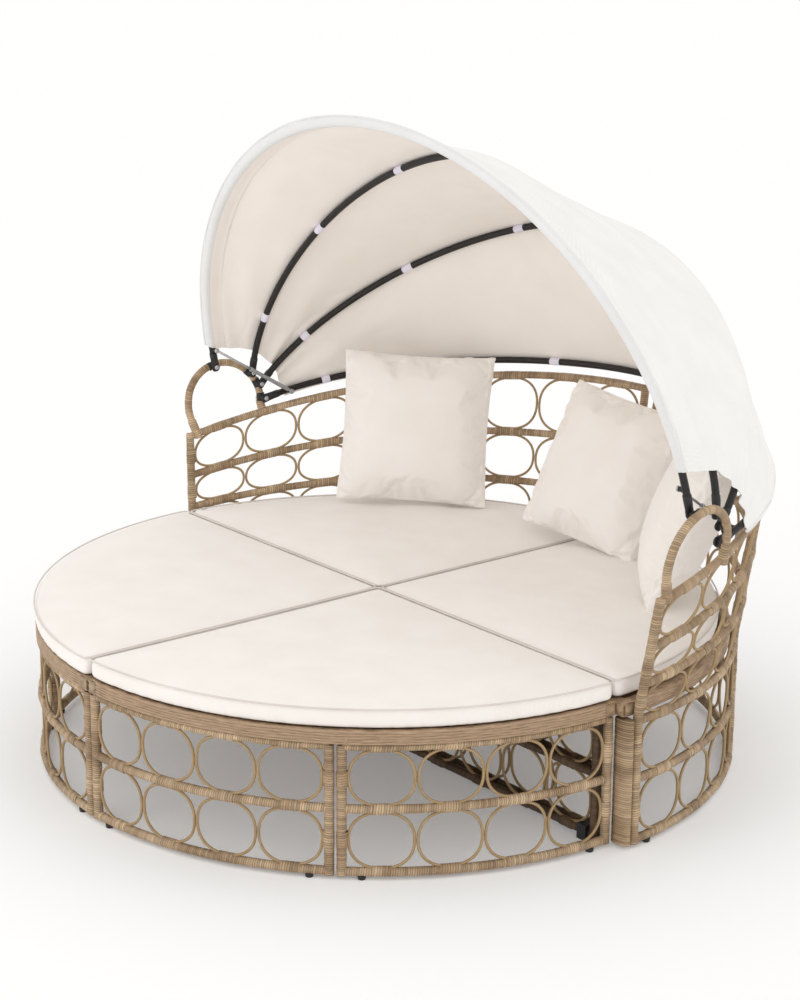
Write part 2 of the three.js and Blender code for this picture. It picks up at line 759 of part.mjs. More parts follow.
function solidFrom(places, faces) {
  const geometry = new THREE.BufferGeometry();
  const values = new Float32Array(places.flatMap((place) => place.toArray()));
  geometry.setAttribute("position", new THREE.BufferAttribute(values, 3));
  geometry.setIndex(faces);
  return solid(geometry);
}

// A quarter cushion's outline: round corners, and its three sides drawn in a little between them.
function cushionOutline(radius, inset, quarterStart) {
  const edge = seamGap / 2 + cushionGap;
  const reach = Math.asin(edge / radius);
  const end = radius * Math.cos(reach);
  const corners = [
    new THREE.Vector2(edge, edge),
    new THREE.Vector2(end, edge),
    new THREE.Vector2(edge, end),
  ];
  const centre = new THREE.Vector2(radius * centreShare, radius * centreShare);
  const arcAt = (angle) => new THREE.Vector2(radius * Math.cos(angle), radius * Math.sin(angle));
  const points = [];
  const sides = [
    { count: straightCount, at: (share) => corners[0].clone().lerp(corners[1], share) },
    { count: arcCount, at: (share) => arcAt(reach + share * (90 * degree - 2 * reach)) },
    { count: straightCount, at: (share) => corners[2].clone().lerp(corners[0], share) },
  ];
  for (const { count, at } of sides) {
    for (let i = 0; i < count; i += 1) {
      const share = cornerShare + ((1 - 2 * cornerShare) * i) / (count - 1);
      const point = at(share);
      const drawn = inset + cushionPull * Math.sin(Math.PI * share);
      const toCentre = centre.clone().sub(point);
      point.addScaledVector(toCentre, drawn / toCentre.length());
      points.push(point);
    }
  }
  points.forEach((point) => point.rotateAround(new THREE.Vector2(), quarterStart * degree));
  return points;
}

// A seat cushion: flat below, drawn in at its welts, and crowned on top.
const cushionBottom = deckTop + clearance;
function seatCushion(radius, quarterStart) {
  const row = ([insetShare, heightShare, crownShare]) => {
    const height = cushionBottom + cushionThickness * heightShare + cushionCrown * crownShare;
    const outline = cushionOutline(radius, insetShare * radius, quarterStart);
    return outline.map((point) => new THREE.Vector3(point.x, point.y, height));
  };
  const middle = new THREE.Vector2(radius * centreShare, radius * centreShare);
  middle.rotateAround(new THREE.Vector2(), quarterStart * degree);
  const first = new THREE.Vector3(middle.x, middle.y, cushionBottom);
  const last = new THREE.Vector3(middle.x, middle.y, cushionBottom + cushionThickness + cushionCrown);
  return closedRows(cushionShares.map(row), first, last);
}

addPair("front_SIDE_cushion", seatCushion(seatRadius - frontCushionSetback, -90), creamCloth);
const backCushion = seatCushion(seatRadius - backCushionSetback, 0);
addPair("back_SIDE_cushion", backCushion, creamCloth);

// A loose cushion: square, pinched at its corners and full in the middle. Its own frame has Z across it.
function looseCushion({ side, angle, setback, yaw, tilt, roll }) {
  const reach = seatRadius - setback;
  const steps = looseSteps;
  const half = side / 2;
  const places = [];
  const index = new Map();
  const at = (i, j, face) => {
    const rim = i === 0 || j === 0 || i === steps || j === steps;
    const key = `${i},${j},${rim ? 0 : face}`;
    if (!index.has(key)) {
      const u = (2 * i) / steps - 1;
      const v = (2 * j) / steps - 1;
      const x = half * u * (1 - loosePinchShare * (1 - v * v) * Math.abs(u));
      const y = half * v * (1 - loosePinchShare * (1 - u * u) * Math.abs(v));
      const fullness = Math.sqrt((1 - u * u) * (1 - v * v));
      index.set(key, places.length);
      places.push(new THREE.Vector3(x, y, (face * looseDepth * fullness) / 2));
    }
    return index.get(key);
  };
  const faces = [];
  for (let i = 0; i < steps; i += 1) {
    for (let j = 0; j < steps; j += 1) {
      const front = [at(i, j, 1), at(i + 1, j, 1), at(i + 1, j + 1, 1), at(i, j + 1, 1)];
      const back = [at(i, j, -1), at(i + 1, j, -1), at(i + 1, j + 1, -1), at(i, j + 1, -1)];
      faces.push(front[0], front[1], front[2], front[0], front[2], front[3]);
      faces.push(back[0], back[2], back[1], back[0], back[3], back[2]);
    }
  }
  const turnBack = new THREE.Matrix4().makeRotationZ(yaw * degree);
  turnBack.multiply(new THREE.Matrix4().makeRotationX((90 - tilt) * degree));
  turnBack.multiply(new THREE.Matrix4().makeRotationZ(roll * degree));
  places.forEach((place) => place.applyMatrix4(turnBack));
  const foot = Math.min(...places.map((place) => place.z));
  const seat = cushionBottom + cushionThickness + cushionCrown + clearance;
  const shift = new THREE.Vector3(reach, 0, 0).applyAxisAngle(new THREE.Vector3(0, 0, 1), angle * degree);
  shift.z = seat - foot;
  places.forEach((place) => place.add(shift));
  return solidFrom(places, faces);
}

// Lowered step by step by its gap from what carries it, so that it comes to rest and never passes into it.
function settled(piece, support) {
  let lowered = piece;
  for (let i = 0; i < settleSteps; i += 1) {
    const gap = lowered.minGap(support, settleReach);
    lowered = lowered.translate([0, 0, seatClearance - gap]);
  }
  return lowered;
}

const backSeat = backCushion.add(mirrored(backCushion));
looseCushions.forEach((spec, i) => {
  addPiece(`loose_cushion_${i + 1}`, settled(looseCushion(spec), backSeat), creamCloth);
});

// The angles of a bow's corner places, with the cloth's own start and end in place of the first and last.
function clothAngles(index) {
  const pivot = bowPivot(index);
  const places = new Route(bowRun(index)).getSpacedPoints(bowSteps);
  const angles = places.map((place) => {
    const reach = Math.hypot(place.y - pivot.y, place.z - pivot.z);
    const angle = bowAngle(index, Math.min(bowRise[index], reach));
    return place.x < 0 ? 180 * degree - angle : angle;
  });
  const start = bowAngle(index, clothStart);
  return [start, ...angles.slice(1, -1), 180 * degree - start];
}

const clothCorners = bowRise.map((unused, index) => clothAngles(index).map((angle) => bowPlace(index, angle)));

// The way out of the cloth at a bow's corner: square to the cloth on both of the bow's sides, as in a mitre.
function clothNormal(index, i) {
  const line = clothCorners[index];
  const run = line[Math.min(bowSteps, i + 1)].clone().sub(line[Math.max(0, i - 1)]);
  const sides = [index - 1, index].filter((bow) => bow >= 0 && bow < lastBow);
  const normals = sides.map((bow) => {
    const span = clothCorners[bow + 1][i].clone().sub(clothCorners[bow][i]);
    return span.cross(run).normalize();
  });
  const first = normals[0];
  const second = normals[normals.length - 1];
  return first.clone().add(second).divideScalar(1 + first.dot(second));
}

// A place on the cloth at a height over the bows: it dips between bows, and has a hem beyond each end one.
function clothPlace(along, i, height) {
  const first = Math.min(lastBow - 1, Math.max(0, Math.floor(along)));
  const near = clothCorners[first][i].clone().addScaledVector(clothNormal(first, i), height);
  const far = clothCorners[first + 1][i].clone().addScaledVector(clothNormal(first + 1, i), height);
  const between = along - first;
  const run = far.clone().sub(near).normalize();
  if (between < 0) return near.addScaledVector(run, between * clothHem);
  if (between > 1) return far.addScaledVector(run, (between - 1) * clothRearHem);
  const wide = Math.sin((Math.PI * i) / bowSteps);
  const dip = clothSag * Math.sin(Math.PI * between) * wide;
  const out = clothNormal(first, i).lerp(clothNormal(first + 1, i), between);
  return near.lerp(far, between).addScaledVector(out, -dip);
}

// One strip of the cloth, about a bow, as a thin shell.
function clothStrip(index) {
  const from = index === 0 ? -1 : index - 1 / 2 + clothGapShare;
  const to = index === lastBow ? lastBow + 1 : index + 1 / 2 - clothGapShare;
  const lines = [from, (from + index) / 2, index, (index + to) / 2, to];
  const places = [];
  for (const height of [bowTubeRadius + clearance, bowTubeRadius + clearance + clothThickness]) {
    for (const line of lines) {
      for (let i = 0; i <= bowSteps; i += 1) places.push(clothPlace(line, i, height));
    }
  }
  const row = bowSteps + 1;
  const layerSize = lines.length * row;
  const faces = [];
  const quad = (a, b, c, d) => faces.push(a, b, c, a, c, d);
  for (let line = 0; line + 1 < lines.length; line += 1) {
    for (let i = 0; i < bowSteps; i += 1) {
      const a = line * row + i;
      quad(a, a + 1, a + row + 1, a + row);
      quad(layerSize + a, layerSize + a + row, layerSize + a + row + 1, layerSize + a + 1);
    }
    const start = line * row;
    const end = start + bowSteps;
    quad(start, start + row, layerSize + start + row, layerSize + start);
    quad(end + row, end, layerSize + end, layerSize + end + row);
  }
  for (let i = 0; i < bowSteps; i += 1) {
    const far = (lines.length - 1) * row + i;
    quad(i + 1, i, layerSize + i, layerSize + i + 1);
    quad(far, far + 1, layerSize + far + 1, layerSize + far);
  }
  return solidFrom(places, faces);
}

bowRise.forEach((unused, index) => addPiece(`canopy_strip_${index + 1}`, clothStrip(index), canopyCloth));

// The origin is put on the floor under the middle of the whole.
const whole = new THREE.Box3().setFromObject(model);
const wholeMiddle = whole.getCenter(new THREE.Vector3());
model.position.set(-wholeMiddle.x, -wholeMiddle.y, -whole.min.z);

export default model;
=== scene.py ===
"""The looks of a round outdoor daybed with a folding canopy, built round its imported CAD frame.

Lengths are in millimetres in the seat's own circle frame (the circle's centre is at x = y = 0), and to_row()
turns them into metres in the row frame. Every surface is a numpy grid, and every material is procedural.
What stands on both sides is made for the right side (x > 0) and mirrored to the left one.
"""
import math

import bpy
import numpy as np
from mathutils import Matrix


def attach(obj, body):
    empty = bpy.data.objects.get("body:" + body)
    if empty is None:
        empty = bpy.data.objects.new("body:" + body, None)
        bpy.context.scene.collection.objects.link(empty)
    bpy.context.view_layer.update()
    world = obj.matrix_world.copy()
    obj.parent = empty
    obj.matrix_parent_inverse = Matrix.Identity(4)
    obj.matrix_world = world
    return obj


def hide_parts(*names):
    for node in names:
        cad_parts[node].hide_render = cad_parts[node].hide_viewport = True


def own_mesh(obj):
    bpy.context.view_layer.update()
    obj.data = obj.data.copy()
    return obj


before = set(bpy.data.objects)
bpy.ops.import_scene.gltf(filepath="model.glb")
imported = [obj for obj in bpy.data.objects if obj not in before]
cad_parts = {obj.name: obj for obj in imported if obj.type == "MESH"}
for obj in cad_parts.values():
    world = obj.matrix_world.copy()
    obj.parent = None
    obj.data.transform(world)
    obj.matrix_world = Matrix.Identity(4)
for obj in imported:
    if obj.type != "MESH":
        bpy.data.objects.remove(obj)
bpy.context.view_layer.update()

# The frame's sizes, as in the CAD part.
MIDDLE_Y = 55.02                                    # the circle's centre is this far behind the row's middle
FRONT_LINE, BACK_LINE = 889.0, 934.0                # radii of the front modules' and the backrest's rails
LEAN_START = 335.0                                  # the backrest leans out above this height
LEAN = math.tan(math.radians(7.6))
RAIL, POST, THIN, STRAND = 11.0, 12.0, 9.0, 3.7     # radii of rails, posts, the seat's rails and the rings
RAIL_HEIGHTS = (19, 176, 328.9)                     # the rails under the seat
SEAM = 14.5                                         # from a seam to the middle of its post
PITCH = 5.6                                         # width of one turn of the wound strand
SINK, RING_GAP = 2.2, 0.2                           # how far rings sink into rails, and stand from one another
DECK_LOW, DECK_TOP = 337.0, 371.0
CUSHION_LOW, CUSHION_HIGH = 371.4, 423.4
ARM_HEIGHT = 619.0                                  # where the arches stand on the arms
TIP = 0.01                                          # radius of a ring that closes the end of a tube
TURN = 2 * math.pi
UP, ACROSS = np.array([0, 0, 1.0]), np.array([1.0, 0, 0])
HANDS = ("right", "left")

# The bows, from the front one to the back one: rise, tilt, power of the curve, place on the arch and body.
RISE = (842.0, 743.0, 746.0, 693.0)
TILT = tuple(math.radians(a) for a in (-13.4, 2.7, 42.1, 77.9))
POWER = (2.0, 1.64, 1.7, 1.84)
PIVOT_ANGLES = (107, 45, 24, 2)
BOW_BODY = ("front_bow", "second_bow", "third_bow", "back_frame")
BOW = 9.5                                           # a bow's radius
EYE_REACH = 26.3                                    # from the arch's middle to the bow's own plane
CLOTH_START = ((103, 101, 95, 92), (66, 66, 66, 66))  # the cloth's hems above the pivots, right and left
HEM, REAR_HEM = 16.0, 20.0                          # how far the cloth goes on past the first and last bow


# ---------------------------------------------------------------- meshes

def to_row(points):
    """Circle-frame millimetres as row-frame metres."""
    return (np.asarray(points, float) - (0, MIDDLE_Y, 0)) / 1000


def from_row(points):
    """Row-frame metres as circle-frame millimetres."""
    return points * 1000 + (0, MIDDLE_Y, 0)


def grid(points, closed_u=False, closed_v=False, uv=None, flip=False):
    """A (rows, columns, 3) array of places as vertices, quads and a UV for each corner of each quad."""
    rows, cols = points.shape[:2]
    i, j = np.meshgrid(np.arange(rows if closed_u else rows - 1), np.arange(cols if closed_v else cols - 1),
                       indexing="ij")
    i, j = i.ravel(), j.ravel()
    i2, j2 = (i + 1) % rows, (j + 1) % cols
    quads = np.stack([i * cols + j, i2 * cols + j, i2 * cols + j2, i * cols + j2], 1)
    u, v = uv if uv is not None else (np.arange(rows + 1.0), np.arange(cols + 1) / cols)
    corner = np.stack([np.stack([u[i], v[j]], 1), np.stack([u[i + 1], v[j]], 1),
                       np.stack([u[i + 1], v[j + 1]], 1), np.stack([u[i], v[j + 1]], 1)], 1)
    if flip:
        quads, corner = quads[:, ::-1], corner[:, ::-1]
    return points.reshape(-1, 3), quads, corner


def add_object(name, data):
    """A new object in the scene."""
    obj = bpy.data.objects.new(name, data)
    bpy.context.scene.collection.objects.link(obj)
    return obj


def piece(name, parts, materials, body=None, nodes=(), which=None):
    """One object of several grids, which rides on a body and stands for CAD nodes. which gives each part's material."""
    starts = np.cumsum([0] + [len(p[0]) for p in parts])
    verts, corner = (np.concatenate([p[k] for p in parts]) for k in (0, 2))
    quads = np.concatenate([p[1] + s for p, s in zip(parts, starts)])
    mesh = bpy.data.meshes.new(name)
    mesh.vertices.add(len(verts))
    mesh.vertices.foreach_set("co", to_row(verts).astype(np.float32).ravel())
    mesh.loops.add(quads.size)
    mesh.loops.foreach_set("vertex_index", quads.astype(np.int32).ravel())
    mesh.polygons.add(len(quads))
    mesh.polygons.foreach_set("loop_start", np.arange(0, quads.size, 4, dtype=np.int32))
    mesh.polygons.foreach_set("use_smooth", np.ones(len(quads), bool))
    layer = mesh.uv_layers.new(name="UVMap")
    layer.data.foreach_set("uv", corner.astype(np.float32).ravel())
    for material in materials:
        mesh.materials.append(material)
    if which is not None:
        index = np.concatenate([np.full(len(p[1]), w) for p, w in zip(parts, which)])
        mesh.polygons.foreach_set("material_index", index.astype(np.int32))
    mesh.update()
    mesh.validate()
    obj = add_object(name, mesh)
    if body:
        finish_piece(obj, body, nodes)
    return obj


def finish_piece(obj, body, nodes=()):
    """Puts a piece on its body, in place of its CAD nodes."""
    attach(obj, body)
    if nodes:
        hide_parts(*nodes)


def body_for(place, hand):
    """The body of a piece at the front or the back, on one hand."""
    return f"front_{hand}_module" if place == "front" else "back_frame"


def unit(v):
    """Directions of length 1."""
    return v / np.maximum(np.linalg.norm(v, axis=-1, keepdims=True), 1e-12)


def lengths(points):
    """Distance along a line of places, from 0."""
    return np.concatenate([[0], np.cumsum(np.linalg.norm(np.diff(points, axis=0), axis=1))])


def along(path, at, values=None):
    """Places at given distances along a path, or there the values that go with the path's own places."""
    values = path if values is None else values
    s = lengths(path)
    return np.stack([np.interp(at, s, values[:, k]) for k in range(3)], 1)


def tube(centre, run, ref, radii, sides, u, closed=False, slant=0.0, squash=(1, 1), shift=0.0):
    """Rings of vertices about centres, square to the run. Each is stretched by squash across and along the reference
    direction, shifted along it, and slanted along the run by slant times the cosine round the ring."""
    up = unit(ref - run * np.sum(ref * run, 1, keepdims=True))
    side = np.cross(run, up)
    a = np.arange(sides) * TURN / sides
    cos, sin = np.cos(a)[None, :, None], np.sin(a)[None, :, None]
    r = radii[:, None, None]
    points = centre[:, None] + up[:, None] * (r * cos * squash[1] + shift) + side[:, None] * (r * sin * squash[0])
    points = points + run[:, None] * (slant * cos)
    return grid(points, closed, True, uv=(u, np.arange(sides + 1) / sides))


def sweep(path, ref, radii, sides, closed=False, u0=0.0):
    """A plain tube along a path. UV U is the distance in metres, from u0."""
    path = np.asarray(path, float)
    run = unit(np.roll(path, -1, 0) - np.roll(path, 1, 0) if closed else np.gradient(path, axis=0))
    ref = np.broadcast_to(np.asarray(ref, float), path.shape)
    radii = np.broadcast_to(np.asarray(radii, float), (len(path),))
    s = lengths(np.vstack([path, path[:1] if closed else path[-1:]]))
    return tube(path, run, ref, radii, sides, s / 1000 + u0, closed)


def wound(path, ref, radius, sides=10, groove=0.7, ends=True, squash=(1, 1), shift=0.0, seed=0):
    """A tube wound with flat strand: each turn of the strand is one flat band between two narrow grooves."""
    total = lengths(path)[-1]
    turns = max(2, int(round(total / PITCH)))
    step = total / turns
    turn, offsets = np.arange(turns), np.array([0.0, 0.2, 0.8])
    at = np.append(((turn[:, None] + offsets) * step).ravel(), total)
    wobble = 0.16 * np.sin(turn * 2.4 + seed) + 0.1 * np.sin(turn * 5.1 + 2 * seed)
    radii = radius + (np.array([-groove, 0.0, 0.0]) + wobble[:, None] * (offsets > 0)).ravel()
    radii = np.append(radii, radius - groove)
    if ends:
        at = np.concatenate([[0, 0], at, [total, total]])
        radii = np.concatenate([[TIP, radius - 2], radii, [radius - 2, TIP]])
    inner = np.clip(at, 1, total - 1)
    run = unit(along(path, inner + 1) - along(path, inner - 1))
    ref = along(path, at, np.broadcast_to(np.asarray(ref, float), path.shape))
    u = np.append(at, at[-1]) / 1000 + seed
    return tube(along(path, at), run, ref, radii, sides, u, slant=0.25 * step, squash=squash, shift=shift)


def smooth_line(points, reach, step=4.0):
    """A line of places resampled evenly and averaged over a reach, with its ends kept."""
    total = lengths(points)[-1]
    n = max(8, int(total / step))
    line = along(points, np.linspace(0, total, n))
    k = max(1, int(reach / (total / n)))
    kernel = np.ones(2 * k + 1) / (2 * k + 1)
    padded = np.vstack([2 * line[0] - line[k:0:-1], line, 2 * line[-1] - line[-2:-k - 2:-1]])
    return np.stack([np.convolve(padded[:, c], kernel, "valid") for c in range(3)], 1)


def through(points, n=160):
    """A smooth line through places: cubic pieces whose slopes are those of the neighbours' chords."""
    points = np.asarray(points, float)
    s = lengths(points)
    slope = np.gradient(points, s, axis=0)
    at = np.linspace(0, s[-1], n)
    k = np.clip(np.searchsorted(s, at, side="right") - 1, 0, len(s) - 2)
    h = (s[k + 1] - s[k])[:, None]
    t = ((at - s[k])[:, None]) / h
    a, b = points[k], points[k + 1]
    return (a * (1 + 2 * t) * (1 - t) ** 2 + b * t * t * (3 - 2 * t)
            + slope[k] * h * t * (1 - t) ** 2 + slope[k + 1] * h * t * t * (t - 1))


def ripple(points, seed, size=120.0, count=7):
    """A smooth, repeatable waviness from -1 to 1: the mean of a few sine waves in fixed odd directions."""
    rng = np.random.default_rng(seed)
    directions = unit(rng.normal(size=(count, 3))) * TURN / (size * rng.uniform(0.6, 1.7, (count, 1)))
    return np.sin(points @ directions.T + rng.uniform(0, TURN, count)).sum(-1) / count * 1.6


def mirrored(part):
    """A grid on the other side of the X = 0 plane."""
    verts, quads, corner = part
    return verts * (-1, 1, 1), quads[:, ::-1], corner[:, ::-1]


def on_hand(parts, hand):
    """Grids of the right side, as they are or mirrored."""
    return parts if hand == "right" else [mirrored(part) for part in parts]


def border(rows):
    """The places round the edge of a grid, as a closed line."""
    return np.concatenate([rows[:, 0], rows[-1, 1:], rows[::-1, -1][1:], rows[0, ::-1][1:-1]])


def turned(origin, axis, heights, radii, sides=20):
    """A turned piece about any axis: rings of given radii at given heights."""
    axis = unit(np.asarray(axis, float))
    x = unit(np.cross(UP if abs(axis[2]) < 0.9 else ACROSS, axis))
    y = np.cross(axis, x)
    a = np.arange(sides) * TURN / sides
    ring = np.cos(a)[:, None] * x + np.sin(a)[:, None] * y
    heights, radii = (np.asarray(values, float)[:, None, None] for values in (heights, radii))
    return grid(np.asarray(origin, float) + axis * heights + ring[None] * radii, False, True)


def box_part(low, high, edge=1.5):
    """A block with softened edges: a stack of rounded rectangles."""
    low, high = np.asarray(low, float), np.asarray(high, float)
    z = np.array([low[2], low[2], low[2] + edge, high[2] - edge, high[2], high[2]])
    inset = np.array([1e3, edge, 0, 0, edge, 1e3])
    half = (high[:2] - low[:2]) / 2
    middle = (high[:2] + low[:2]) / 2
    corner = np.array([[1, -1], [1, -1], [1, 1], [1, 1], [-1, 1], [-1, 1], [-1, -1], [-1, -1]], float)
    nudge = np.array([[-1, 0], [0, 1], [0, -1], [-1, 0], [1, 0], [0, -1], [0, 1], [1, 0]], float) * edge
    rows = []
    for level, draw in zip(z, inset):
        reach = np.maximum(half - draw, 0.01)
        rows.append(np.column_stack([middle + corner * reach + nudge * (draw < 100), np.full(8, level)]))
    return grid(np.array(rows), False, True)


# ---------------------------------------------------------------- materials

def srgb(r, g, b):
    """A colour written as sRGB from 0 to 255, as linear light."""
    c = np.array([r, g, b]) / 255
    return (*np.where(c <= 0.04045, c / 12.92, ((c + 0.055) / 1.055) ** 2.4), 1.0)


def grey(v):
    """A linear grey."""
    return (v, v, v, 1)


def shader(name, rough, metal=0.0):
    """A new material, its node tree and the inputs of its surface."""
    material = bpy.data.materials.new(name)
    material.use_nodes = True
    surface = material.node_tree.nodes["Principled BSDF"].inputs
    surface["Roughness"].default_value = rough
    surface["Metallic"].default_value = metal
    return material, material.node_tree, surface


def node(tree, kind, inputs=(), **settings):
    """A new node whose inputs are set to values or linked to sockets, as its outputs."""
    made = tree.nodes.new("ShaderNode" + kind)
    for key, value in settings.items():
        setattr(made, key, value)
    for key, value in dict(inputs).items():
        if isinstance(value, bpy.types.NodeSocket):
            tree.links.new(value, made.inputs[key])
        else:
            made.inputs[key].default_value = value
    return made.outputs


def maths(tree, operation, a, b=0.5):
    """The result of a sum on one or two values."""
    return node(tree, "Math", {0: a, 1: b}, operation=operation)[0]


def noise(tree, place, scale, detail, **inputs):
    """Fractal noise on a place."""
    return node(tree, "TexNoise", {"Vector": place, "Scale": scale, "Detail": detail, **inputs})["Fac"]


def ramp(tree, source, *stops):
    """A colour ramp on a value, from its stops' places and colours."""
    made = tree.nodes.new("ShaderNodeValToRGB")
    elements = made.color_ramp.elements
    while len(elements) < len(stops):
        elements.new(0.5)
    for element, (at, colour) in zip(elements, stops):
        element.position = at
        element.color = colour
    tree.links.new(source, made.inputs["Fac"])
    return made.outputs["Color"]


def blend(tree, factor, a, b, mode="MULTIPLY"):
    """Two colours multiplied or mixed."""
    return node(tree, "Mix", {"Factor": factor, 6: a, 7: b}, data_type="RGBA", blend_type=mode)[2]


def dent(tree, surface, height, strength, distance, **normal):
    """Gives a surface a bump, on top of another one or none."""
    bump = node(tree, "Bump", {"Strength": strength, "Distance": distance, "Height": height, **normal})
    tree.links.new(bump["Normal"], surface["Normal"])


def scaled(tree, place, scale):
    """A place stretched along its axes."""
    return node(tree, "Mapping", {"Scale": scale, "Vector": place})["Vector"]


def wicker(name, light, dark, groove=0.2, pitch=PITCH):
    """Flat strand wound round a core: UV U is the distance in metres, and each turn takes its own tint."""
    material, tree, surface = shader(name, 0.62)
    coords = node(tree, "TexCoord")
    turns = maths(tree, "MULTIPLY", node(tree, "SeparateXYZ", {0: coords["UV"]})["X"], 1000 / pitch)
    tint = node(tree, "TexWhiteNoise", {"W": maths(tree, "FLOOR", turns)}, noise_dimensions="1D")["Value"]
    patch = ramp(tree, noise(tree, coords["Object"], 11.0, 3.0), (0.36, grey(0)), (0.64, grey(1)))
    base = blend(tree, patch, dark, light, "MIX")
    level = node(tree, "MapRange", {"Value": tint, "To Min": 0.712, "To Max": 1.144})["Result"]
    shade = ramp(tree, maths(tree, "FRACT", turns),
                 (0.0, grey(groove)), (0.17, grey(1)), (0.82, grey(1)), (1.0, grey(groove)))
    colour = blend(tree, 1.0, blend(tree, 1.0, base, level), shade)
    grain = noise(tree, scaled(tree, coords["UV"], (900.0, 6.0, 1.0)), 1.0, 2.0)
    fine = ramp(tree, grain, (0.3, grey(0.86)), (0.7, grey(1.06)))
    tree.links.new(blend(tree, 1.0, colour, fine), surface["Base Color"])
    dent(tree, surface, grain, 0.35, 0.0006)
    return material


def rod(name, light, dark):
    """A smooth round strand with grain along it."""
    material, tree, surface = shader(name, 0.5)
    place = scaled(tree, node(tree, "TexCoord")["UV"], (26.0, 9.0, 1.0))
    grain = noise(tree, place, 1.0, 4.0, Roughness=0.7)
    tree.links.new(ramp(tree, grain, (0.3, dark), (0.68, light)), surface["Base Color"])
    dent(tree, surface, grain, 0.4, 0.0006)
    return material


def cloth(name, light, dark, weave=1.6, sheen=0.15, rough=0.88):
    """Plain-woven cloth: crossed threads from two sine bands on object coordinates, with faint mottling."""
    material, tree, surface = shader(name, rough)
    surface["Sheen Weight"].default_value = sheen
    place = node(tree, "TexCoord")["Object"]
    base = ramp(tree, noise(tree, place, 9.0, 5.0), (0.3, dark), (0.72, light))
    bands = [node(tree, "TexWave", {"Scale": 1000 / weave / TURN, "Distortion": wrong, "Detail": 1.0, "Vector": place},
                  bands_direction=direction, wave_profile="SIN")["Fac"]
             for direction, wrong in (("X", 0.35), ("DIAGONAL", 0.6))]
    cross = maths(tree, "ADD", *bands)
    thread = node(tree, "MapRange", {"Value": cross, "From Max": 2.0, "To Min": 0.955, "To Max": 1.02})["Result"]
    tree.links.new(blend(tree, 1.0, base, thread), surface["Base Color"])
    soft = node(tree, "Bump", {"Strength": 0.25, "Distance": 0.002, "Height": noise(tree, place, 22.0, 3.0)})
    dent(tree, surface, cross, 0.3, 0.00025, Normal=soft["Normal"])
    return material


def speckled(name, light, dark, rough, metal, scale, bump=0.0003, stretch=(1, 1, 1)):
    """Powder coat, moulded plastic or brushed metal: fine noise, stretched for brushing."""
    material, tree, surface = shader(name, rough, metal)
    spots = noise(tree, scaled(tree, node(tree, "TexCoord")["Object"], stretch), scale, 3.0)
    tree.links.new(ramp(tree, spots, (0.3, dark), (0.7, light)), surface["Base Color"])
    dent(tree, surface, spots, 0.2, bump)
    return material


WOUND = wicker("wound_strand", srgb(208, 180, 146), srgb(168, 140, 107))
LASHING = wicker("lashing_strand", srgb(210, 182, 148), srgb(168, 140, 107), 0.2, 6.2)
# Painted shade: a darker copy of the wound strand for the side frames, which stand in shade under the seat.
SHADE_PAINTED_WOUND = wicker("shaded_strand", srgb(118, 94, 70), srgb(84, 65, 47), 0.4)
RIM = rod("rim_strand", srgb(204, 174, 142), srgb(116, 92, 68))
RING = rod("ring_strand", srgb(184, 156, 114), srgb(140, 114, 78))
CREAM = cloth("cushion_weave", srgb(248, 243, 238), srgb(244, 238, 232))
PIPING = cloth("piping_weave", srgb(227, 219, 213), srgb(216, 207, 200), 1.1)
CANOPY_OUT = cloth("canopy_outside", srgb(246, 245, 243), srgb(241, 239, 236), 1.3, 0.05, 0.8)
# Painted light: the inside cloth is a brighter, warmer copy of the outside cloth, standing in for light that shines
# through the thin cloth.
CANOPY_IN_PAINTED_GLOW = cloth("canopy_inside", srgb(252, 246, 240), srgb(249, 242, 235), 1.3, 0.05, 0.8)
CANOPY_BAND = cloth("canopy_band", srgb(233, 233, 233), srgb(227, 227, 226), 1.3, 0.05, 0.8)
STRAP = cloth("strap_weave", srgb(238, 233, 246), srgb(222, 216, 232), 1.0, 0.1, 0.8)
POWDER = speckled("dark_powder_coat", srgb(40, 36, 34), srgb(28, 25, 24), 0.38, 0.3, 900.0)
PLASTIC = speckled("black_plastic", srgb(34, 33, 34), srgb(24, 23, 24), 0.5, 0.0, 500.0)
STEEL = speckled("brushed_steel", srgb(205, 205, 205), srgb(170, 171, 173), 0.32, 0.85, 120.0, 0.0001, (1, 6, 1))
BARREL = speckled("stay_barrel", srgb(178, 180, 184), srgb(150, 152, 156), 0.36, 0.7, 120.0, 0.0001, (1, 6, 1))
PLATE = wicker("plate_weave", srgb(150, 118, 86), srgb(112, 86, 60), 0.5, 9.0)


# ---------------------------------------------------------------- the wicker panels

def above(z):
    """How far a height is above the start of the backrest's lean."""
    return np.maximum(0, z - LEAN_START)


def radius_at(line, z):
    """The radius of a line of rails and posts: upright to the seat, and leaning out above it."""
    return line + above(z) * LEAN


def on_line(line, angle, z):
    """Places on a line of rails and posts, by angle and height."""
    angle, z, r = np.broadcast_arrays(angle, z, radius_at(line, z))
    return np.stack([r * np.cos(angle), r * np.sin(angle), z], -1)


def rail_height(rail, angle):
    """A rail's height, which rises from the arms to the middle with the sine of the angle."""
    arm, middle = rail
    return arm + (middle - arm) * np.abs(np.sin(angle))


def off_seam(post, z):
    """How far a post stands off its seam at a height."""
    foot, more, height = post
    return foot + more * above(z) / height


def rail_place(spec, rail, share):
    """A rail's centre line in a panel, between end posts that stand off the seams by a distance of the height."""
    first, last = (math.radians(angle) for angle in spec["angles"])
    share = np.asarray(share, float)
    h = rail_height(rail, first + share * (last - first))
    low, high = (off_seam(post, h) / radius_at(spec["line"], h) for post in spec["posts"])
    start, end = first + low, last - high
    angle = start + share * (end - start)
    return on_line(spec["line"], angle, rail_height(rail, angle))


def level(z):
    """A rail of one height."""
    return (z, z)


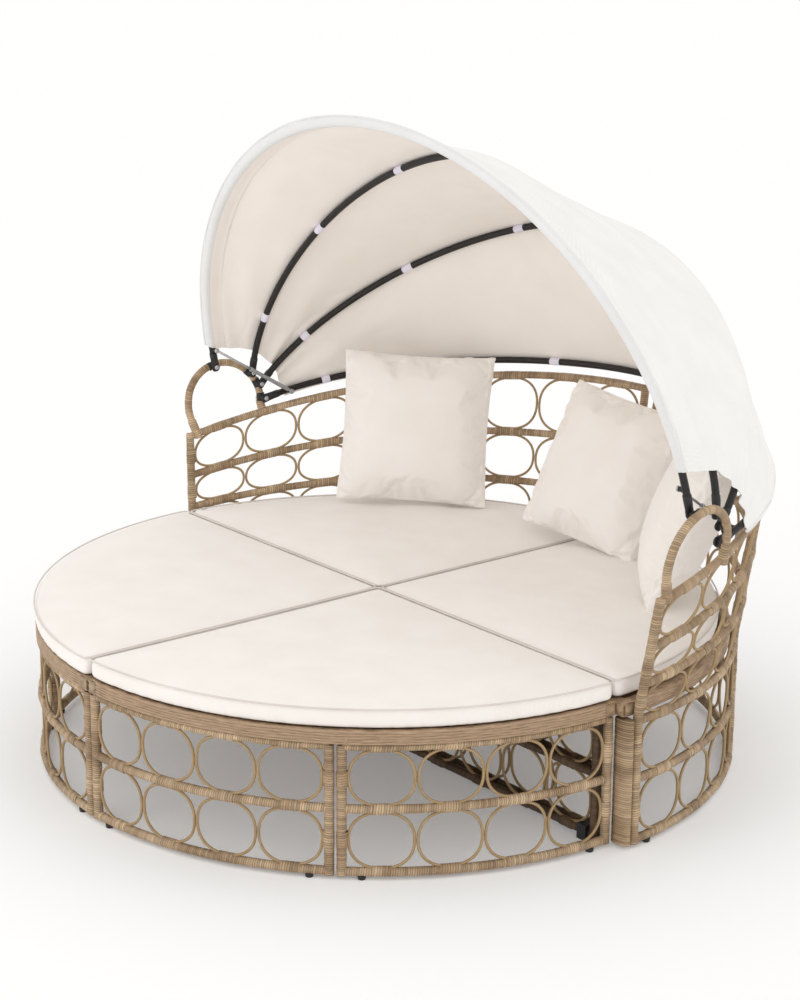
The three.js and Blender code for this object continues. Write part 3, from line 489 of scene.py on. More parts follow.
# Each post: its distance from the seam up to the seat, what it gains above that, and over how much height.
SEAM_POST, ARM_POST, MIDDLE_POST = (SEAM, 0.0, 1.0), (38.5, 22.0, 284.0), (SEAM, 12.0, 478.0)
FRONT = {"line": FRONT_LINE, "rails": [level(z) for z in RAIL_HEIGHTS]}
BACK = {"line": BACK_LINE, "rails": [level(19), level(176), level(324), (414, 484), (503, 636), (612, 813)]}
PANELS = {
    "front_right_panel_a": {"angles": (-90, -45), "posts": (SEAM_POST, SEAM_POST), **FRONT},
    "front_right_panel_b": {"angles": (-45, 0), "posts": (SEAM_POST, SEAM_POST), **FRONT},
    "back_right_panel_a": {"angles": (0, 45), "posts": (ARM_POST, SEAM_POST), **BACK},
    "back_right_panel_b": {"angles": (45, 90), "posts": (SEAM_POST, MIDDLE_POST), **BACK},
}
PANEL_CELLS, SIDE_CELLS = 4, 5                      # rings in a row
LASH_HALF = 22                                      # half a lashing's length on the side frames
POST_LASH_HALF = 19                                 # and on the posts
FOOT_INSET = 47.0                                   # from a bottom rail's end to its plug foot
SIDE_OUTER = 853.6                                  # the side frames' outer posts
DECK_SEAM, PLATE_EDGE, RIM_DEPTH = 2.5, 29.5, 30.0  # a deck's gap to the seams, its plate's edge and its rim's depth
PLATE_TOP, PLATE_LOW = 365, 357
SLAT_HALF, SLAT_END, SLAT_LOW, SLAT_TOP = 20, 15, 341, 358


def outward(points):
    """The way out of the circle, level."""
    return unit(np.array(points, float) * (1, 1, 0))


def rounded_ring(mapping, steps=56, power=2.3):
    """A closed rounded oval, as a superellipse in a panel's own across and up shares."""
    t = np.arange(steps) * TURN / steps
    c, s = np.cos(t), np.sin(t)
    return mapping(np.sign(c) * np.abs(c) ** (2 / power), np.sign(s) * np.abs(s) ** (2 / power))


def panel_parts(spec, seed):
    """A curved panel: wound rails and posts (0), a row of rings (1) between each two rails, and lashings (2)."""
    rails = spec["rails"]
    sizes = [THIN if rail == rails[-1] and len(rails) == 3 else RAIL for rail in rails]
    lines = [lambda share, rail=rail: rail_place(spec, rail, share) for rail in rails]
    spans = [lengths(line(np.linspace(0, 1, 60)))[-1] for line in lines]
    parts = [wound(line(np.linspace(0, 1, 90)), UP, sizes[k], seed=seed + k) for k, line in enumerate(lines)]
    posts = []
    for share in (0.0, 1.0):
        foot, head = rail_place(spec, level(8.0), share), lines[-1](share)
        if head[2] > LEAN_START:
            knee = rail_place(spec, level(LEAN_START), share)
            post = smooth_line(np.array([foot, knee, head + unit(head - knee) * 9]), 22)
        else:
            post = np.linspace(foot, head + (0, 0, 3), 40)
        posts.append(post)
        parts.append(wound(post, outward(post), POST, seed=seed + 9 + share))
    which = [0] * len(parts)
    for row, (low, high) in enumerate(zip(lines, lines[1:])):
        room = 1 - 2 * POST / spans[row]
        reach = 1 - 2 * (STRAND + RING_GAP) * PANEL_CELLS / (spans[row] * room)
        low_rise, high_drop = sizes[row] - SINK, sizes[row + 1] - SINK
        for cell in range(PANEL_CELLS):
            def mapping(across, upward):
                place = (cell + 0.5 + across * reach / 2) / PANEL_CELLS
                share = 0.5 + (place - 0.5) * room
                a, b = low(share) + (0, 0, low_rise), high(share) - (0, 0, high_drop)
                return a + (b - a) * ((upward + 1) / 2)[..., None]
            ring = rounded_ring(mapping)
            parts.append(sweep(ring, outward(ring), STRAND, 8, closed=True, u0=seed + row + 0.3 * cell))
            which.append(1)
    for k, line in enumerate(lines):
        room = 1 - 2 * POST / spans[k]
        shift, stretch = (1.6, 1.08) if k == 0 else (-1.6, 1.08) if k == len(rails) - 1 else (0.0, 1.16)
        for cell in range(PANEL_CELLS):
            share = 0.5 + ((cell + 0.5) / PANEL_CELLS - 0.5) * room
            half = (23 + 3 * math.sin(5.1 * cell + 2.3 * k + seed)) / spans[k]
            path = line(np.clip(np.linspace(share - half, share + half, 9), 0.0, 1.0))
            parts.append(wound(path, UP, sizes[k] + 1.0, sides=12, squash=(1.0, stretch), shift=shift,
                               seed=seed + cell, groove=0.8))
            which.append(2)
    for row, (low, high) in enumerate(zip(lines, lines[1:])):
        for share, post in zip((0.0, 1.0), posts):
            middle = (low(share)[2] + high(share)[2]) / 2
            s = lengths(post)
            at = s[np.argmin(np.abs(post[:, 2] - middle))] + np.linspace(-POST_LASH_HALF, POST_LASH_HALF, 9)
            path = along(post, np.clip(at, 0, s[-1]))
            inwards = unit(np.broadcast_to((low(0.5) - path.mean(0)) * (1, 1, 0), path.shape))
            parts.append(wound(path, inwards, POST + 1.0, sides=12, squash=(1.0, 1.1), shift=1.4, seed=seed + row))
            which.append(2)
    return parts, which


def feet_parts(spec, sides=18):
    """Black plug feet under a panel's bottom rail: rings of given radii at given heights, near the rail's ends."""
    line = rail_place(spec, level(RAIL_HEIGHTS[0]), np.linspace(0, 1, 60))
    places = along(line, np.array([FOOT_INSET, lengths(line)[-1] - FOOT_INSET])) * (1, 1, 0)
    heights = np.array([0.0, 0.0, 1.2, 7.5, 9.5, 9.5])[:, None, None] * UP
    radii = np.array([TIP, 8.2, 9.6, 10.2, 10.2, TIP])[:, None, None]
    a = np.arange(sides) * TURN / sides
    ring = np.stack([np.cos(a), np.sin(a), 0 * a], 1)
    return [grid(place + heights + ring * radii, False, True) for place in places]


def lower_arm_post():
    """The deep post under an arm, from the floor to the seat."""
    angle = SEAM / BACK_LINE
    x, y = BACK_LINE * math.cos(angle), BACK_LINE * math.sin(angle)
    base = np.linspace((x, y, 9.5), (x, y, 330), 40)
    return wound(base, outward(base), POST, sides=16, squash=(1.0, 2.5), shift=-19.0, seed=40)


for number, (name, spec) in enumerate(PANELS.items()):
    parts, which = panel_parts(spec, 3.0 * number)
    if name == "back_right_panel_a":
        parts.append(lower_arm_post())
        which.append(0)
    feet = feet_parts(spec)
    for hand in HANDS:
        own, body = name.replace("right", hand), body_for(name.split("_")[0], hand)
        piece(own.replace("panel", "wicker_panel"), on_hand(parts, hand), [WOUND, RING, LASHING], body,
              [own], which)
        piece(own.replace("panel", "feet"), on_hand(feet, hand), [PLASTIC], body)


# ---------------------------------------------------------------- side frames and decks

def side_frame_parts(side):
    """A straight frame along the seam: two posts, three rails (0), two rows of rings (1) and lashings (2)."""
    inner, outer, y = SEAM, SIDE_OUTER, side * SEAM
    sizes = (RAIL, RAIL, THIN)
    parts = [wound(np.linspace((inner, y, z), (outer, y, z), 80), UP, sizes[k], seed=20 + k)
             for k, z in enumerate(RAIL_HEIGHTS)]
    parts += [wound(np.linspace((x, y, 3.0), (x, y, 333), 30), (0, side, 0), POST, seed=30 + x)
              for x in (inner, outer)]
    which = [0] * len(parts)
    pitch = (outer - inner - 2 * POST) / SIDE_CELLS
    for row in range(2):
        low, high = RAIL_HEIGHTS[row] + sizes[row] - SINK, RAIL_HEIGHTS[row + 1] - sizes[row + 1] + SINK
        for cell in range(SIDE_CELLS):
            middle = inner + POST + (cell + 0.5) * pitch
            def mapping(across, upward):
                x = middle + across * (pitch / 2 - STRAND - RING_GAP)
                return np.stack([x, np.full_like(x, y), (low + high) / 2 + upward * (high - low) / 2], -1)
            parts.append(sweep(rounded_ring(mapping), (0, side, 0), STRAND, 8, closed=True, u0=cell + row))
            which.append(1)
            for k in ((0, 1), (2,))[row]:
                z = RAIL_HEIGHTS[k]
                path = np.linspace((middle - LASH_HALF, y, z), (middle + LASH_HALF, y, z), 9)
                parts.append(wound(path, UP, sizes[k] + 1.0, sides=12, squash=(1, 1.1), seed=cell + k))
                which.append(2)
    return parts, which


for place, side in (("front", -1), ("back", 1)):
    parts, which = side_frame_parts(side)
    for hand in HANDS:
        own = f"{place}_{hand}_side"
        # The side frames take the strand with painted shade, on their rails and their lashings.
        piece(f"{own}_wicker_frame", on_hand(parts, hand), [SHADE_PAINTED_WOUND, RING, SHADE_PAINTED_WOUND], body_for(place, hand),
              [f"{own}_frame"], which)


def rim_sweep(line, out, sunk=0.0, strands=5):
    """A deck's rim: strands laid lengthwise one above another round a flat core, sunk so that no two tops are level."""
    n = 8 * strands
    t = np.linspace(0, 1, n + 1)
    bulge = np.abs(np.sin(np.pi * strands * t)) ** 0.6
    outer = np.column_stack([-3.4 + 3.4 * bulge, DECK_LOW + sunk + (DECK_TOP - DECK_LOW - 2 * sunk) * t])
    inner = np.array([[-RIM_DEPTH, DECK_TOP - sunk], [-RIM_DEPTH, DECK_LOW + sunk]])
    profile = np.vstack([outer, inner])
    points = line[:, None, :] + out[:, None, :] * profile[None, :, 0:1]
    points[..., 2] = profile[None, :, 1]
    s = lengths(line) / 1000
    drift = np.sin(s[:, None] * 31 + 7 * np.floor(strands * t)) + np.sin(s[:, None] * 57 + 3 * np.floor(strands * t))
    points[:, :n + 1, 2] += 0.8 * drift * (np.sin(np.pi * t) > 0.2)
    ends = [np.broadcast_to(points[k].mean(0), points[k].shape) for k in (0, -1)]
    points = np.concatenate([ends[0][None], points[:1], points, points[-1:], ends[1][None]])
    s = np.concatenate([s[:1], s[:1], s, s[-1:], s[-1:], s[-1:]])
    return grid(points, False, True, uv=(s, np.append(np.arange(len(profile)) / 8.0, len(profile) / 8.0)))


def quarter_line(radius, inset, n=90):
    """The arc of a quarter between two seams, in the quarter from 0 to 90 degrees."""
    reach = math.asin(inset / radius)
    angle = np.linspace(reach, math.pi / 2 - reach, n)
    return np.column_stack([radius * np.cos(angle), radius * np.sin(angle), 0 * angle])


def turned_quarter(points, degrees):
    """Places turned about the circle's centre."""
    a = math.radians(degrees)
    c, s = math.cos(a), math.sin(a)
    return points @ np.array([[c, s, 0], [-s, c, 0], [0, 0, 1]])


def deck_parts(radius):
    """A deck: a rim with lengthwise strands on its arc and its two straight sides, a woven plate (1) and two slats."""
    arc = quarter_line(radius, DECK_SEAM)
    straight = np.linspace((DECK_SEAM, DECK_SEAM, 0), (arc[0][0], DECK_SEAM, 0), 60)
    other = straight[:, [1, 0, 2]]
    parts = [rim_sweep(arc, outward(arc)),
             rim_sweep(straight[::-1], np.broadcast_to((0.0, -1.0, 0.0), straight.shape), sunk=0.6),
             rim_sweep(other, np.broadcast_to((-1.0, 0.0, 0.0), other.shape), sunk=1.0)]
    inner = quarter_line(radius - RIM_DEPTH + 3, PLATE_EDGE, 61)
    corner = np.array([PLATE_EDGE, PLATE_EDGE, 0.0])
    rows = corner + (inner[None] - corner) * np.linspace(0, 1, 61)[:, None, None]
    weave = 0.7 * np.sin(rows[..., 0] / 9) * np.sin(rows[..., 1] / 9)
    for height, flip in ((PLATE_TOP, True), (PLATE_LOW, False)):
        face = rows.copy()
        face[..., 2] = height + weave
        parts.append(grid(face, flip=flip))
    for share in (1 / 3, 2 / 3):
        x = share * radius
        end = math.sqrt(radius ** 2 - x ** 2) - SLAT_END
        parts.append(box_part((x - SLAT_HALF, SLAT_END, SLAT_LOW), (x + SLAT_HALF, end, SLAT_TOP)))
    return parts, [0, 0, 0, 1, 1, 0, 0]


for place, radius, start in (("front", 900.0, -90), ("back", 923.8, 0)):
    parts, which = deck_parts(radius)
    parts = [(turned_quarter(v, start), q, c) for v, q, c in parts]
    for hand in HANDS:
        own = f"{place}_{hand}"
        piece(f"{own}_woven_deck", on_hand(parts, hand), [RIM, PLATE], body_for(place, hand),
              [f"{own}_deck"], which)

for own in ("front_right_clip", "front_left_clip", "back_right_clip", "back_left_clip"):
    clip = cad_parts[own]
    clip.data.materials.clear()
    clip.data.materials.append(PLASTIC)
    soften = clip.modifiers.new("soften", "BEVEL")
    soften.width = 0.0012
    soften.segments = 2


# ---------------------------------------------------------------- arches, bows and stays

def arch_frame(turn=math.radians(9.5), lean=math.radians(10)):
    """The arch's foot on the arm, the direction of its chord, and its own way up, which leans outwards."""
    arm = on_line(BACK_LINE, off_seam(ARM_POST, ARM_HEIGHT) / radius_at(BACK_LINE, ARM_HEIGHT), ARM_HEIGHT)
    chord = np.array([-math.sin(turn), math.cos(turn), 0])
    sideways = np.array([math.cos(turn), math.sin(turn), 0])
    return arm, chord, sideways * math.sin(lean) + np.array([0, 0, math.cos(lean)])


ARM_TOP, CHORD, ARCH_UP = arch_frame()


ARCH_RADIUS, ARCH_MIDDLE = 118, (121, 94.03)        # its round part, along the chord and up


def arch_place(run, up):
    """A place in the arch's own plane."""
    return ARM_TOP + CHORD * run + ARCH_UP * up


def arch_at(degrees):
    """A place on the arch's round part."""
    a = math.radians(degrees)
    return arch_place(ARCH_MIDDLE[0] + ARCH_RADIUS * math.cos(a), ARCH_MIDDLE[1] + ARCH_RADIUS * math.sin(a))


ROUND = [arch_at(a) for a in (180, 156, 132, 108, 84, 60, 36, 12, -8)]
ARCH_LINE = through([arch_place(26, 0), *ROUND, arch_place(244.5, 47)], 240)
ARCH_OUT = np.cross(CHORD, ARCH_UP)
arch_parts = [wound(ARCH_LINE, ARCH_OUT, RAIL, seed=50, ends=False),
              wound(ARCH_LINE[:26], ARCH_OUT, RAIL + 1.8, seed=51),         # thicker windings at its two ends
              wound(ARCH_LINE[-26:], ARCH_OUT, RAIL + 1.8, seed=52)]
for hand in HANDS:
    piece(f"{hand}_wound_arch", on_hand(arch_parts, hand), [WOUND, LASHING], "back_frame",
          [f"{hand}_arch"], [0, 1, 1])


def bow_pivot(k):
    """The place about which a bow turns on the right side."""
    return arch_at(PIVOT_ANGLES[k]) - (EYE_REACH, 0, 0)


def up_of(k):
    """A bow's own way up."""
    return np.array([0, math.sin(TILT[k]), math.cos(TILT[k])])


def bow_plane(k):
    """The direction square to a bow's plane."""
    return np.cross(ACROSS, up_of(k))


def bow_place(k, angle):
    """A bow between its pivots: |x / half width|^p + |reach / rise|^p = 1, tilted about the line between them."""
    pivot = bow_pivot(k)
    power = 2 / POWER[k]
    c, s = np.cos(angle), np.maximum(np.sin(angle), 0)
    reach = RISE[k] * s ** power
    across = c * (c * c + 0.01 * (power > 1)) ** ((power - 1) / 2)
    return np.stack([pivot[0] * across, pivot[1] + reach * math.sin(TILT[k]), pivot[2] + reach * math.cos(TILT[k])], -1)


def bow_angle(k, reach):
    """The angle at which a bow has come a distance from its pivot line."""
    return np.arcsin((np.clip(reach, 0, RISE[k]) / RISE[k]) ** (POWER[k] / 2))


def bow_spaced(k, first, last, count):
    """Angles on a bow at equal distances, from one distance off the right pivot to another off the left one."""
    fine = np.linspace(bow_angle(k, first), math.pi - bow_angle(k, last), 1200)
    s = lengths(bow_place(k, fine))
    return np.interp(np.linspace(0, s[-1], count), s, fine)


def half_clamp(centre, run, full):
    """A clamp that hugs the inner side of the arch's tube: rings of a crescent, thinned to a line at both ends."""
    inwards = unit(-ACROSS - run * (run @ -ACROSS)[:, None])
    across = np.cross(run, inwards)
    turn_by = np.radians(np.linspace(-80, 80, 17))
    angle = np.concatenate([turn_by, turn_by[::-1]])
    thick = np.concatenate([1.9 * np.cos(turn_by * 0.9), -0.9 + 0 * turn_by])
    radii = 12.6 + thick[None] * full[:, None]
    ring = np.cos(angle)[None, :, None] * inwards[:, None] + np.sin(angle)[None, :, None] * across[:, None]
    return grid(centre[:, None] + ring * radii[..., None], False, True)


# A bow's flattened end: distances from its pivot, and half its width and thickness there.
SHOE_AT = np.array([-13.0, -13.0, -12.0, -9.0, -4.0, 4.0, 12.0, 22.0, 34.0, 46.0, 46.5])
SHOE_WIDE = np.array([TIP, 4.0, 8.0, 11.6, 13.6, 13.6, 12.4, 11.6, 11.2, 10.9, 9.6])
SHOE_THICK = np.array([TIP, 3.0, 3.6, 4.0, 4.2, 4.4, 6.0, 9.0, 11.0, 10.9, 9.6])


def bow_shoe(k, sides=20):
    """The flattened end of a bow: ellipses about a spine that follows the bow's bend above its pivot."""
    pivot = bow_pivot(k)
    spine = pivot + up_of(k) * SHOE_AT[:, None]
    bend = bow_place(k, bow_angle(k, SHOE_AT))[:, 0] - pivot[0]
    spine[:, 0] += np.where(SHOE_AT > 0, bend, 0)
    a = np.arange(sides) * TURN / sides
    ring = (np.cos(a)[None, :, None] * bow_plane(k) * SHOE_WIDE[:, None, None]
            + np.sin(a)[None, :, None] * ACROSS * SHOE_THICK[:, None, None])
    return grid(spine[:, None] + ring, False, True)


def saddle_parts(k):
    """What holds a bow's pivot on the arch: a band that hugs the tube, and a round boss."""
    mount = arch_at(PIVOT_ANGLES[k])
    nearest = np.argmin(np.linalg.norm(ARCH_LINE - mount, axis=1))
    clamp_at = lengths(ARCH_LINE)[nearest] + np.array([-12, -12, -11, 11, 12, 12])
    run = unit(along(ARCH_LINE, clamp_at + 1) - along(ARCH_LINE, clamp_at - 1))
    band = half_clamp(along(ARCH_LINE, clamp_at), run, np.array([0, 0.6, 1, 1, 0.6, 0]))
    return [band, turned(mount, -ACROSS, [8, 20, 21.2, 21.8, 21.8], [8.6, 8.2, 7.8, 6.8, 4.5])]


for k in range(4):
    line = sweep(bow_place(k, bow_spaced(k, 22, 22, 150)), bow_plane(k), BOW, 14)
    shoe = bow_shoe(k)
    piece(f"wrapped_bow_{k + 1}", [line, shoe, mirrored(shoe)], [POWDER, PLASTIC], BOW_BODY[k],
          [f"bow_{k + 1}"], [0, 1, 1])
    saddle = saddle_parts(k)
    head = turned(arch_at(PIVOT_ANGLES[k]), -ACROSS, [21, 30.7, 30.7, 32, 33.6, 34.8, 35.2, 35.2, 33.6, 33.6],
                  [4, 4, 7.2, 7.4, 6.6, 4.8, 3.4, 2.3, 2.2, TIP])
    for hand in HANDS:
        piece(f"{hand}_sleeve_{k + 1}", on_hand(saddle, hand), [PLASTIC], "back_frame",
              [f"{hand}_saddle_{k + 1}"])
        piece(f"{hand}_bolt_head_{k + 1}", on_hand([head], hand), [STEEL], "back_frame",
              [f"{hand}_pivot_bolt_{k + 1}"])


def eye_end(centre, radius=7.6, thick=2.6):
    """A flattened round end across X."""
    return turned(centre - (thick, 0, 0), ACROSS, [0, 0, 0.7, 2 * thick - 0.7, 2 * thick, 2 * thick],
                  [TIP, radius - 0.8, radius, radius, radius - 0.8, TIP])


def pin_head(centre, size=5.2):
    """The low round head of a stay's pin."""
    return turned(centre - (2.4, 0, 0), -ACROSS, [0, 0, 1.8, 3.0, 3.6, 3.6],
                  [TIP, size, size, size - 1.4, size - 3.4, TIP])


# The stays' pins on the first and the last bow: 57 and 76 mm above the pivots' lines, and 24 mm inside the bows.
STAY_FRONT = bow_place(0, bow_angle(0, 57)) - (24, 0, 0)
STAY_REAR = bow_place(3, bow_angle(3, 76)) - (24, 0, 0)
stay_run = unit(STAY_REAR - STAY_FRONT)
full = float(np.linalg.norm(STAY_REAR - STAY_FRONT))
mouth = full * 0.44
rod_parts = [turned(STAY_FRONT, stay_run, [2, 4, mouth + 10, mouth + 11], [TIP, 3.5, 3.5, TIP]),
             eye_end(STAY_FRONT), pin_head(STAY_FRONT)]
barrel_at = [*(mouth + np.array([0, 0, 1, 7, 7.4, 8])), full - 16, full - 13, full - 12]
barrel_parts = [turned(STAY_FRONT, stay_run, barrel_at, [3.6, 6.2, 6.7, 6.7, 6.1, 6.0, 6.0, 4.6, TIP]),
                turned(STAY_FRONT, stay_run, [full - 15, full - 14, full, full + 2], [TIP, 3.6, 3.4, TIP]),
                eye_end(STAY_REAR), pin_head(STAY_REAR)]
for hand in HANDS:
    # Painted shade: the right stay's pin head is black plastic and the left one steel, because the right one stands in
    # shade.
    piece(f"{hand}_thin_rod", on_hand(rod_parts, hand), [STEEL, PLASTIC], f"{hand}_rod",
          [f"{hand}_stay_rod"], [0, 0, int(hand == "right")])
    piece(f"{hand}_thick_barrel", on_hand(barrel_parts, hand), [BARREL], f"{hand}_barrel",
          [f"{hand}_stay_barrel"])
    for place, centre, body in (("front", STAY_FRONT, "front_bow"), ("rear", STAY_REAR, "back_frame")):
        stud = turned(centre + (3.6, 0, 0), ACROSS, [0, 0, 16, 18], [TIP, 6.3, 6.3, TIP])
        piece(f"{hand}_{place}_stud", on_hand([stud], hand), [PLASTIC], body)


# ---------------------------------------------------------------- the canopy cloth

STATIONS = 220
ANGLES = [bow_spaced(k, CLOTH_START[0][k], CLOTH_START[1][k], STATIONS) for k in range(4)]
BOW_LINES = np.array([bow_place(k, ANGLES[k]) for k in range(4)])


def canopy_surface(lift=13.4, sag=9.0, per_span=60):
    """The cloth as one sheet: rulings from bow to bow that dip between them, rounded where they pass over a bow.

    Rows run from the front hem to the back hem, and columns from the right hem to the left one."""
    run = np.gradient(BOW_LINES, axis=1)
    spans = np.diff(BOW_LINES, axis=0)
    normals = [unit(np.cross(spans[k], run[k])) for k in range(3)]
    at_bow = [normals[0], None, None, normals[2]]
    for k in (1, 2):
        both = normals[k - 1] + normals[k]
        at_bow[k] = both / (1 + np.sum(normals[k - 1] * normals[k], 1, keepdims=True))
    lifted = np.array([BOW_LINES[k] + at_bow[k] * lift for k in range(4)])
    wide = np.sin(np.pi * np.linspace(0, 1, STATIONS))[:, None] ** 0.7
    rows, place = [], []
    for k in range(3):
        t = np.arange(per_span) / per_span
        out = at_bow[k][None] * (1 - t)[:, None, None] + at_bow[k + 1][None] * t[:, None, None]
        dip = (sag * np.sin(np.pi * t))[:, None, None] * wide[None]
        rows.append(lifted[k][None] * (1 - t)[:, None, None] + lifted[k + 1][None] * t[:, None, None] - unit(out) * dip)
        place.append(k + t)
    rows.append(lifted[3][None])
    place.append([3.0])
    rows, place = np.concatenate(rows), np.concatenate(place)
    ahead = unit(lifted[0] - lifted[1])
    behind = unit(lifted[3] - lifted[2])
    steps = np.linspace(1, 1 / 8, 8)
    front = lifted[0][None] + ahead[None] * (HEM * steps)[:, None, None]
    back = lifted[3][None] + behind[None] * (REAR_HEM * steps[::-1])[:, None, None]
    rows = np.concatenate([front, rows, back])
    place = np.concatenate([-steps, place, 3 + steps[::-1]])
    kernel = np.exp(-0.5 * (np.arange(-3, 4) / 1.5) ** 2)
    kernel /= kernel.sum()
    padded = np.concatenate([rows[:1]] * 3 + [rows] + [rows[-1:]] * 3)
    smooth = sum(w * padded[i:i + len(rows)] for i, w in enumerate(kernel))
    keep = np.clip(np.minimum(place + 1, 4 - place) * 4, 0, 1)[:, None, None]
    return rows * (1 - keep) + smooth * keep, place


# The cloth's relief in mm: waves near its lower hems, pulls from the pivots, large and small folds, creases, puckers
# on the front band and the stitched groove behind it, whose place is a share of the way to the second bow.
WAVE, PULL, FOLD_LARGE, FOLD_SMALL, CREASE, PUCKER, GROOVE = 4.5, 3.2, 3.0, 1.2, 2.6, 0.9, 0.7
GROOVE_AT, PUCKER_AT = 0.16, 0.1
HEM_TO_HEM = 2300                                   # the cloth's path over a bow
THICK = 2.2                                         # from its outer to its inner face


def creased(points, place):
    """Waves near the two lower hems, soft pulls that fan out from the pivots, long shallow folds between the bows,
    narrow creases where a stretched waviness crosses zero, and a stitched groove along the front band."""
    normal = unit(np.cross(np.gradient(points, axis=0), np.gradient(points, axis=1)))
    share = np.linspace(0, 1, STATIONS)[None]
    edge = np.minimum(share, 1 - share) * HEM_TO_HEM
    p = place[:, None]
    free = 1 - np.exp(-((p - np.round(p)) / 0.1) ** 2)
    wave = WAVE * np.exp(-edge / 90) * np.sin(p * 10.0 + 2.0 * np.sin(edge / 150))
    pull = PULL * np.exp(-edge / 360) * np.sin(p * 13.0 + edge / 120 + 1.5 * np.sin(edge / 210))
    fold = FOLD_LARGE * ripple(points, 5, 420) + FOLD_SMALL * ripple(points, 8, 170)
    steps = np.linalg.norm(np.diff(points, axis=1), axis=2)
    run = np.concatenate([np.zeros((len(points), 1)), np.cumsum(steps, axis=1)], axis=1)
    patchy = 0.5 + 0.5 * np.sin(run / 173 + 1.3 * np.sin(run / 71))
    near = np.exp(-((p - PUCKER_AT) / 0.09) ** 2)
    pucker = PUCKER * patchy * near * np.sin(TURN * run / 27 + 2.5 * np.sin(run / 90) + 4 * p)
    groove = -GROOVE * np.exp(-((p - GROOVE_AT) / 0.012) ** 2)
    skewed = np.stack([220 * p + 0.3 * run, run, 0 * run], -1)
    crease = np.clip(1 - 2.4 * np.abs(ripple(skewed, 12, 150)), 0, 1) ** 2
    patch = np.clip(0.35 + ripple(skewed, 21, 700), 0, 1) * np.clip((p - 0.2) / 0.15, 0, 1) * (0.4 + 0.6 * free)
    return points + normal * ((wave + pull + fold) * free + CREASE * crease * patch + groove + pucker)[..., None]


surface, place = canopy_surface()
surface = creased(surface, place)
out = unit(np.cross(np.gradient(surface, axis=0), np.gradient(surface, axis=1)))
if np.sum(out[:, STATIONS // 2] * (0, 0, 1.0)) < 0:
    out = -out
under = surface - out * THICK
CUTS = (-1.0, 0.5, 1.5, 2.5, 4.0)                   # the strips' edges, counted in bows


def crisp_border(rows, narrow=0.05):
    """A grid with one more narrow row and column inside each of its four borders, so that only those shade round."""
    for _ in range(2):
        first = rows[0] + (rows[1] - rows[0]) * narrow
        last = rows[-1] + (rows[-2] - rows[-1]) * narrow
        rows = np.concatenate([rows[:1], first[None], rows[1:-1], last[None], rows[-1:]]).transpose(1, 0, 2)
    return rows


def mesh_points(mesh):
    """A mesh's vertices as an array."""
    co = np.empty(len(mesh.vertices) * 3)
    mesh.vertices.foreach_get("co", co)
    return co.reshape(-1, 3)


def apply_modifiers(obj):
    """The object's mesh with its modifiers applied, in place of its own."""
    graph = bpy.context.evaluated_depsgraph_get()
    mesh = bpy.data.meshes.new_from_object(obj.evaluated_get(graph))
    old = obj.data
    obj.modifiers.clear()
    obj.data = mesh
    bpy.data.meshes.remove(old)


def outward_faces(obj):
    """Turns a closed mesh's faces outwards if they face in."""
    mesh = obj.data
    co = mesh_points(mesh)
    mesh.calc_loop_triangles()
    tris = np.empty(len(mesh.loop_triangles) * 3, int)
    mesh.loop_triangles.foreach_get("vertices", tris)
    a, b, c = (co[tris.reshape(-1, 3)[:, i]] for i in range(3))
    if np.sum(a * np.cross(b, c)) < 0:
        mesh.flip_normals()


def close_up(obj, reach=0.00002):
    """Joins a piece's parts into one closed mesh that faces outwards."""
    obj.modifiers.new("weld", "WELD").merge_threshold = reach
    apply_modifiers(obj)
    outward_faces(obj)


for k in range(4):
    own = (place >= CUTS[k] - 1e-6) & (place <= CUTS[k + 1] + 1e-6)
    top, low = crisp_border(surface[own]), crisp_border(under[own])
    s = lengths(top[:, STATIONS // 2]) / 1000
    uv = (np.append(s, s[-1]), np.linspace(0, 2.3, top.shape[1] + 1))
    parts = [grid(top, uv=uv), grid(low, uv=uv, flip=True), grid(np.stack([border(top), border(low)]), closed_v=True)]
    # The inner face takes the inside cloth, whose colour is painted glow of light through the cloth.
    strip = piece(f"canopy_cloth_{k + 1}", parts, [CANOPY_OUT, CANOPY_IN_PAINTED_GLOW], which=[0, 1, 0])
    close_up(strip)
    finish_piece(strip, BOW_BODY[k], [f"canopy_strip_{k + 1}"])
    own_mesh(strip)


SLEEVE_BACK, SLEEVE_STEPS = 46, 36                  # how far the sleeve reaches behind the bow, and in how many rows


def bow_sleeve():
    """The hem sleeve that hides the front bow: from the front edge, under the bow and up to the cloth behind it."""
    run = np.gradient(BOW_LINES[0], axis=0)
    span = BOW_LINES[1] - BOW_LINES[0]
    face = unit(np.cross(span, run))
    face = face * np.sign(np.sum(face * (BOW_LINES[0] - (0, 150.0, 700.0)), 1, keepdims=True))
    away = np.linspace(-SLEEVE_BACK, HEM - 0.8, SLEEVE_STEPS)
    w = np.where(away > 0, away / (HEM - 0.8), -away / SLEEVE_BACK)
    lift = -11.6 + np.where(away > 0, 22.4 * (1 - np.sqrt(np.maximum(0, 1 - w * w))), 16.4 * w * w * (3 - 2 * w))
    return BOW_LINES[0][None] + unit(-span)[None] * away[:, None, None] + face[None] * lift[:, None, None], face


rows, face = bow_sleeve()
upper = rows + face[None] * 1.0
sleeve = grid(np.concatenate([rows, upper[::-1]]), closed_u=True)
ends = [grid(np.stack([rows[:, c], upper[:, c]]), flip=(c == 0)) for c in (0, STATIONS - 1)]
sleeve_piece = piece("canopy_bow_sleeve", [sleeve, *ends], [CANOPY_BAND, CANOPY_IN_PAINTED_GLOW])
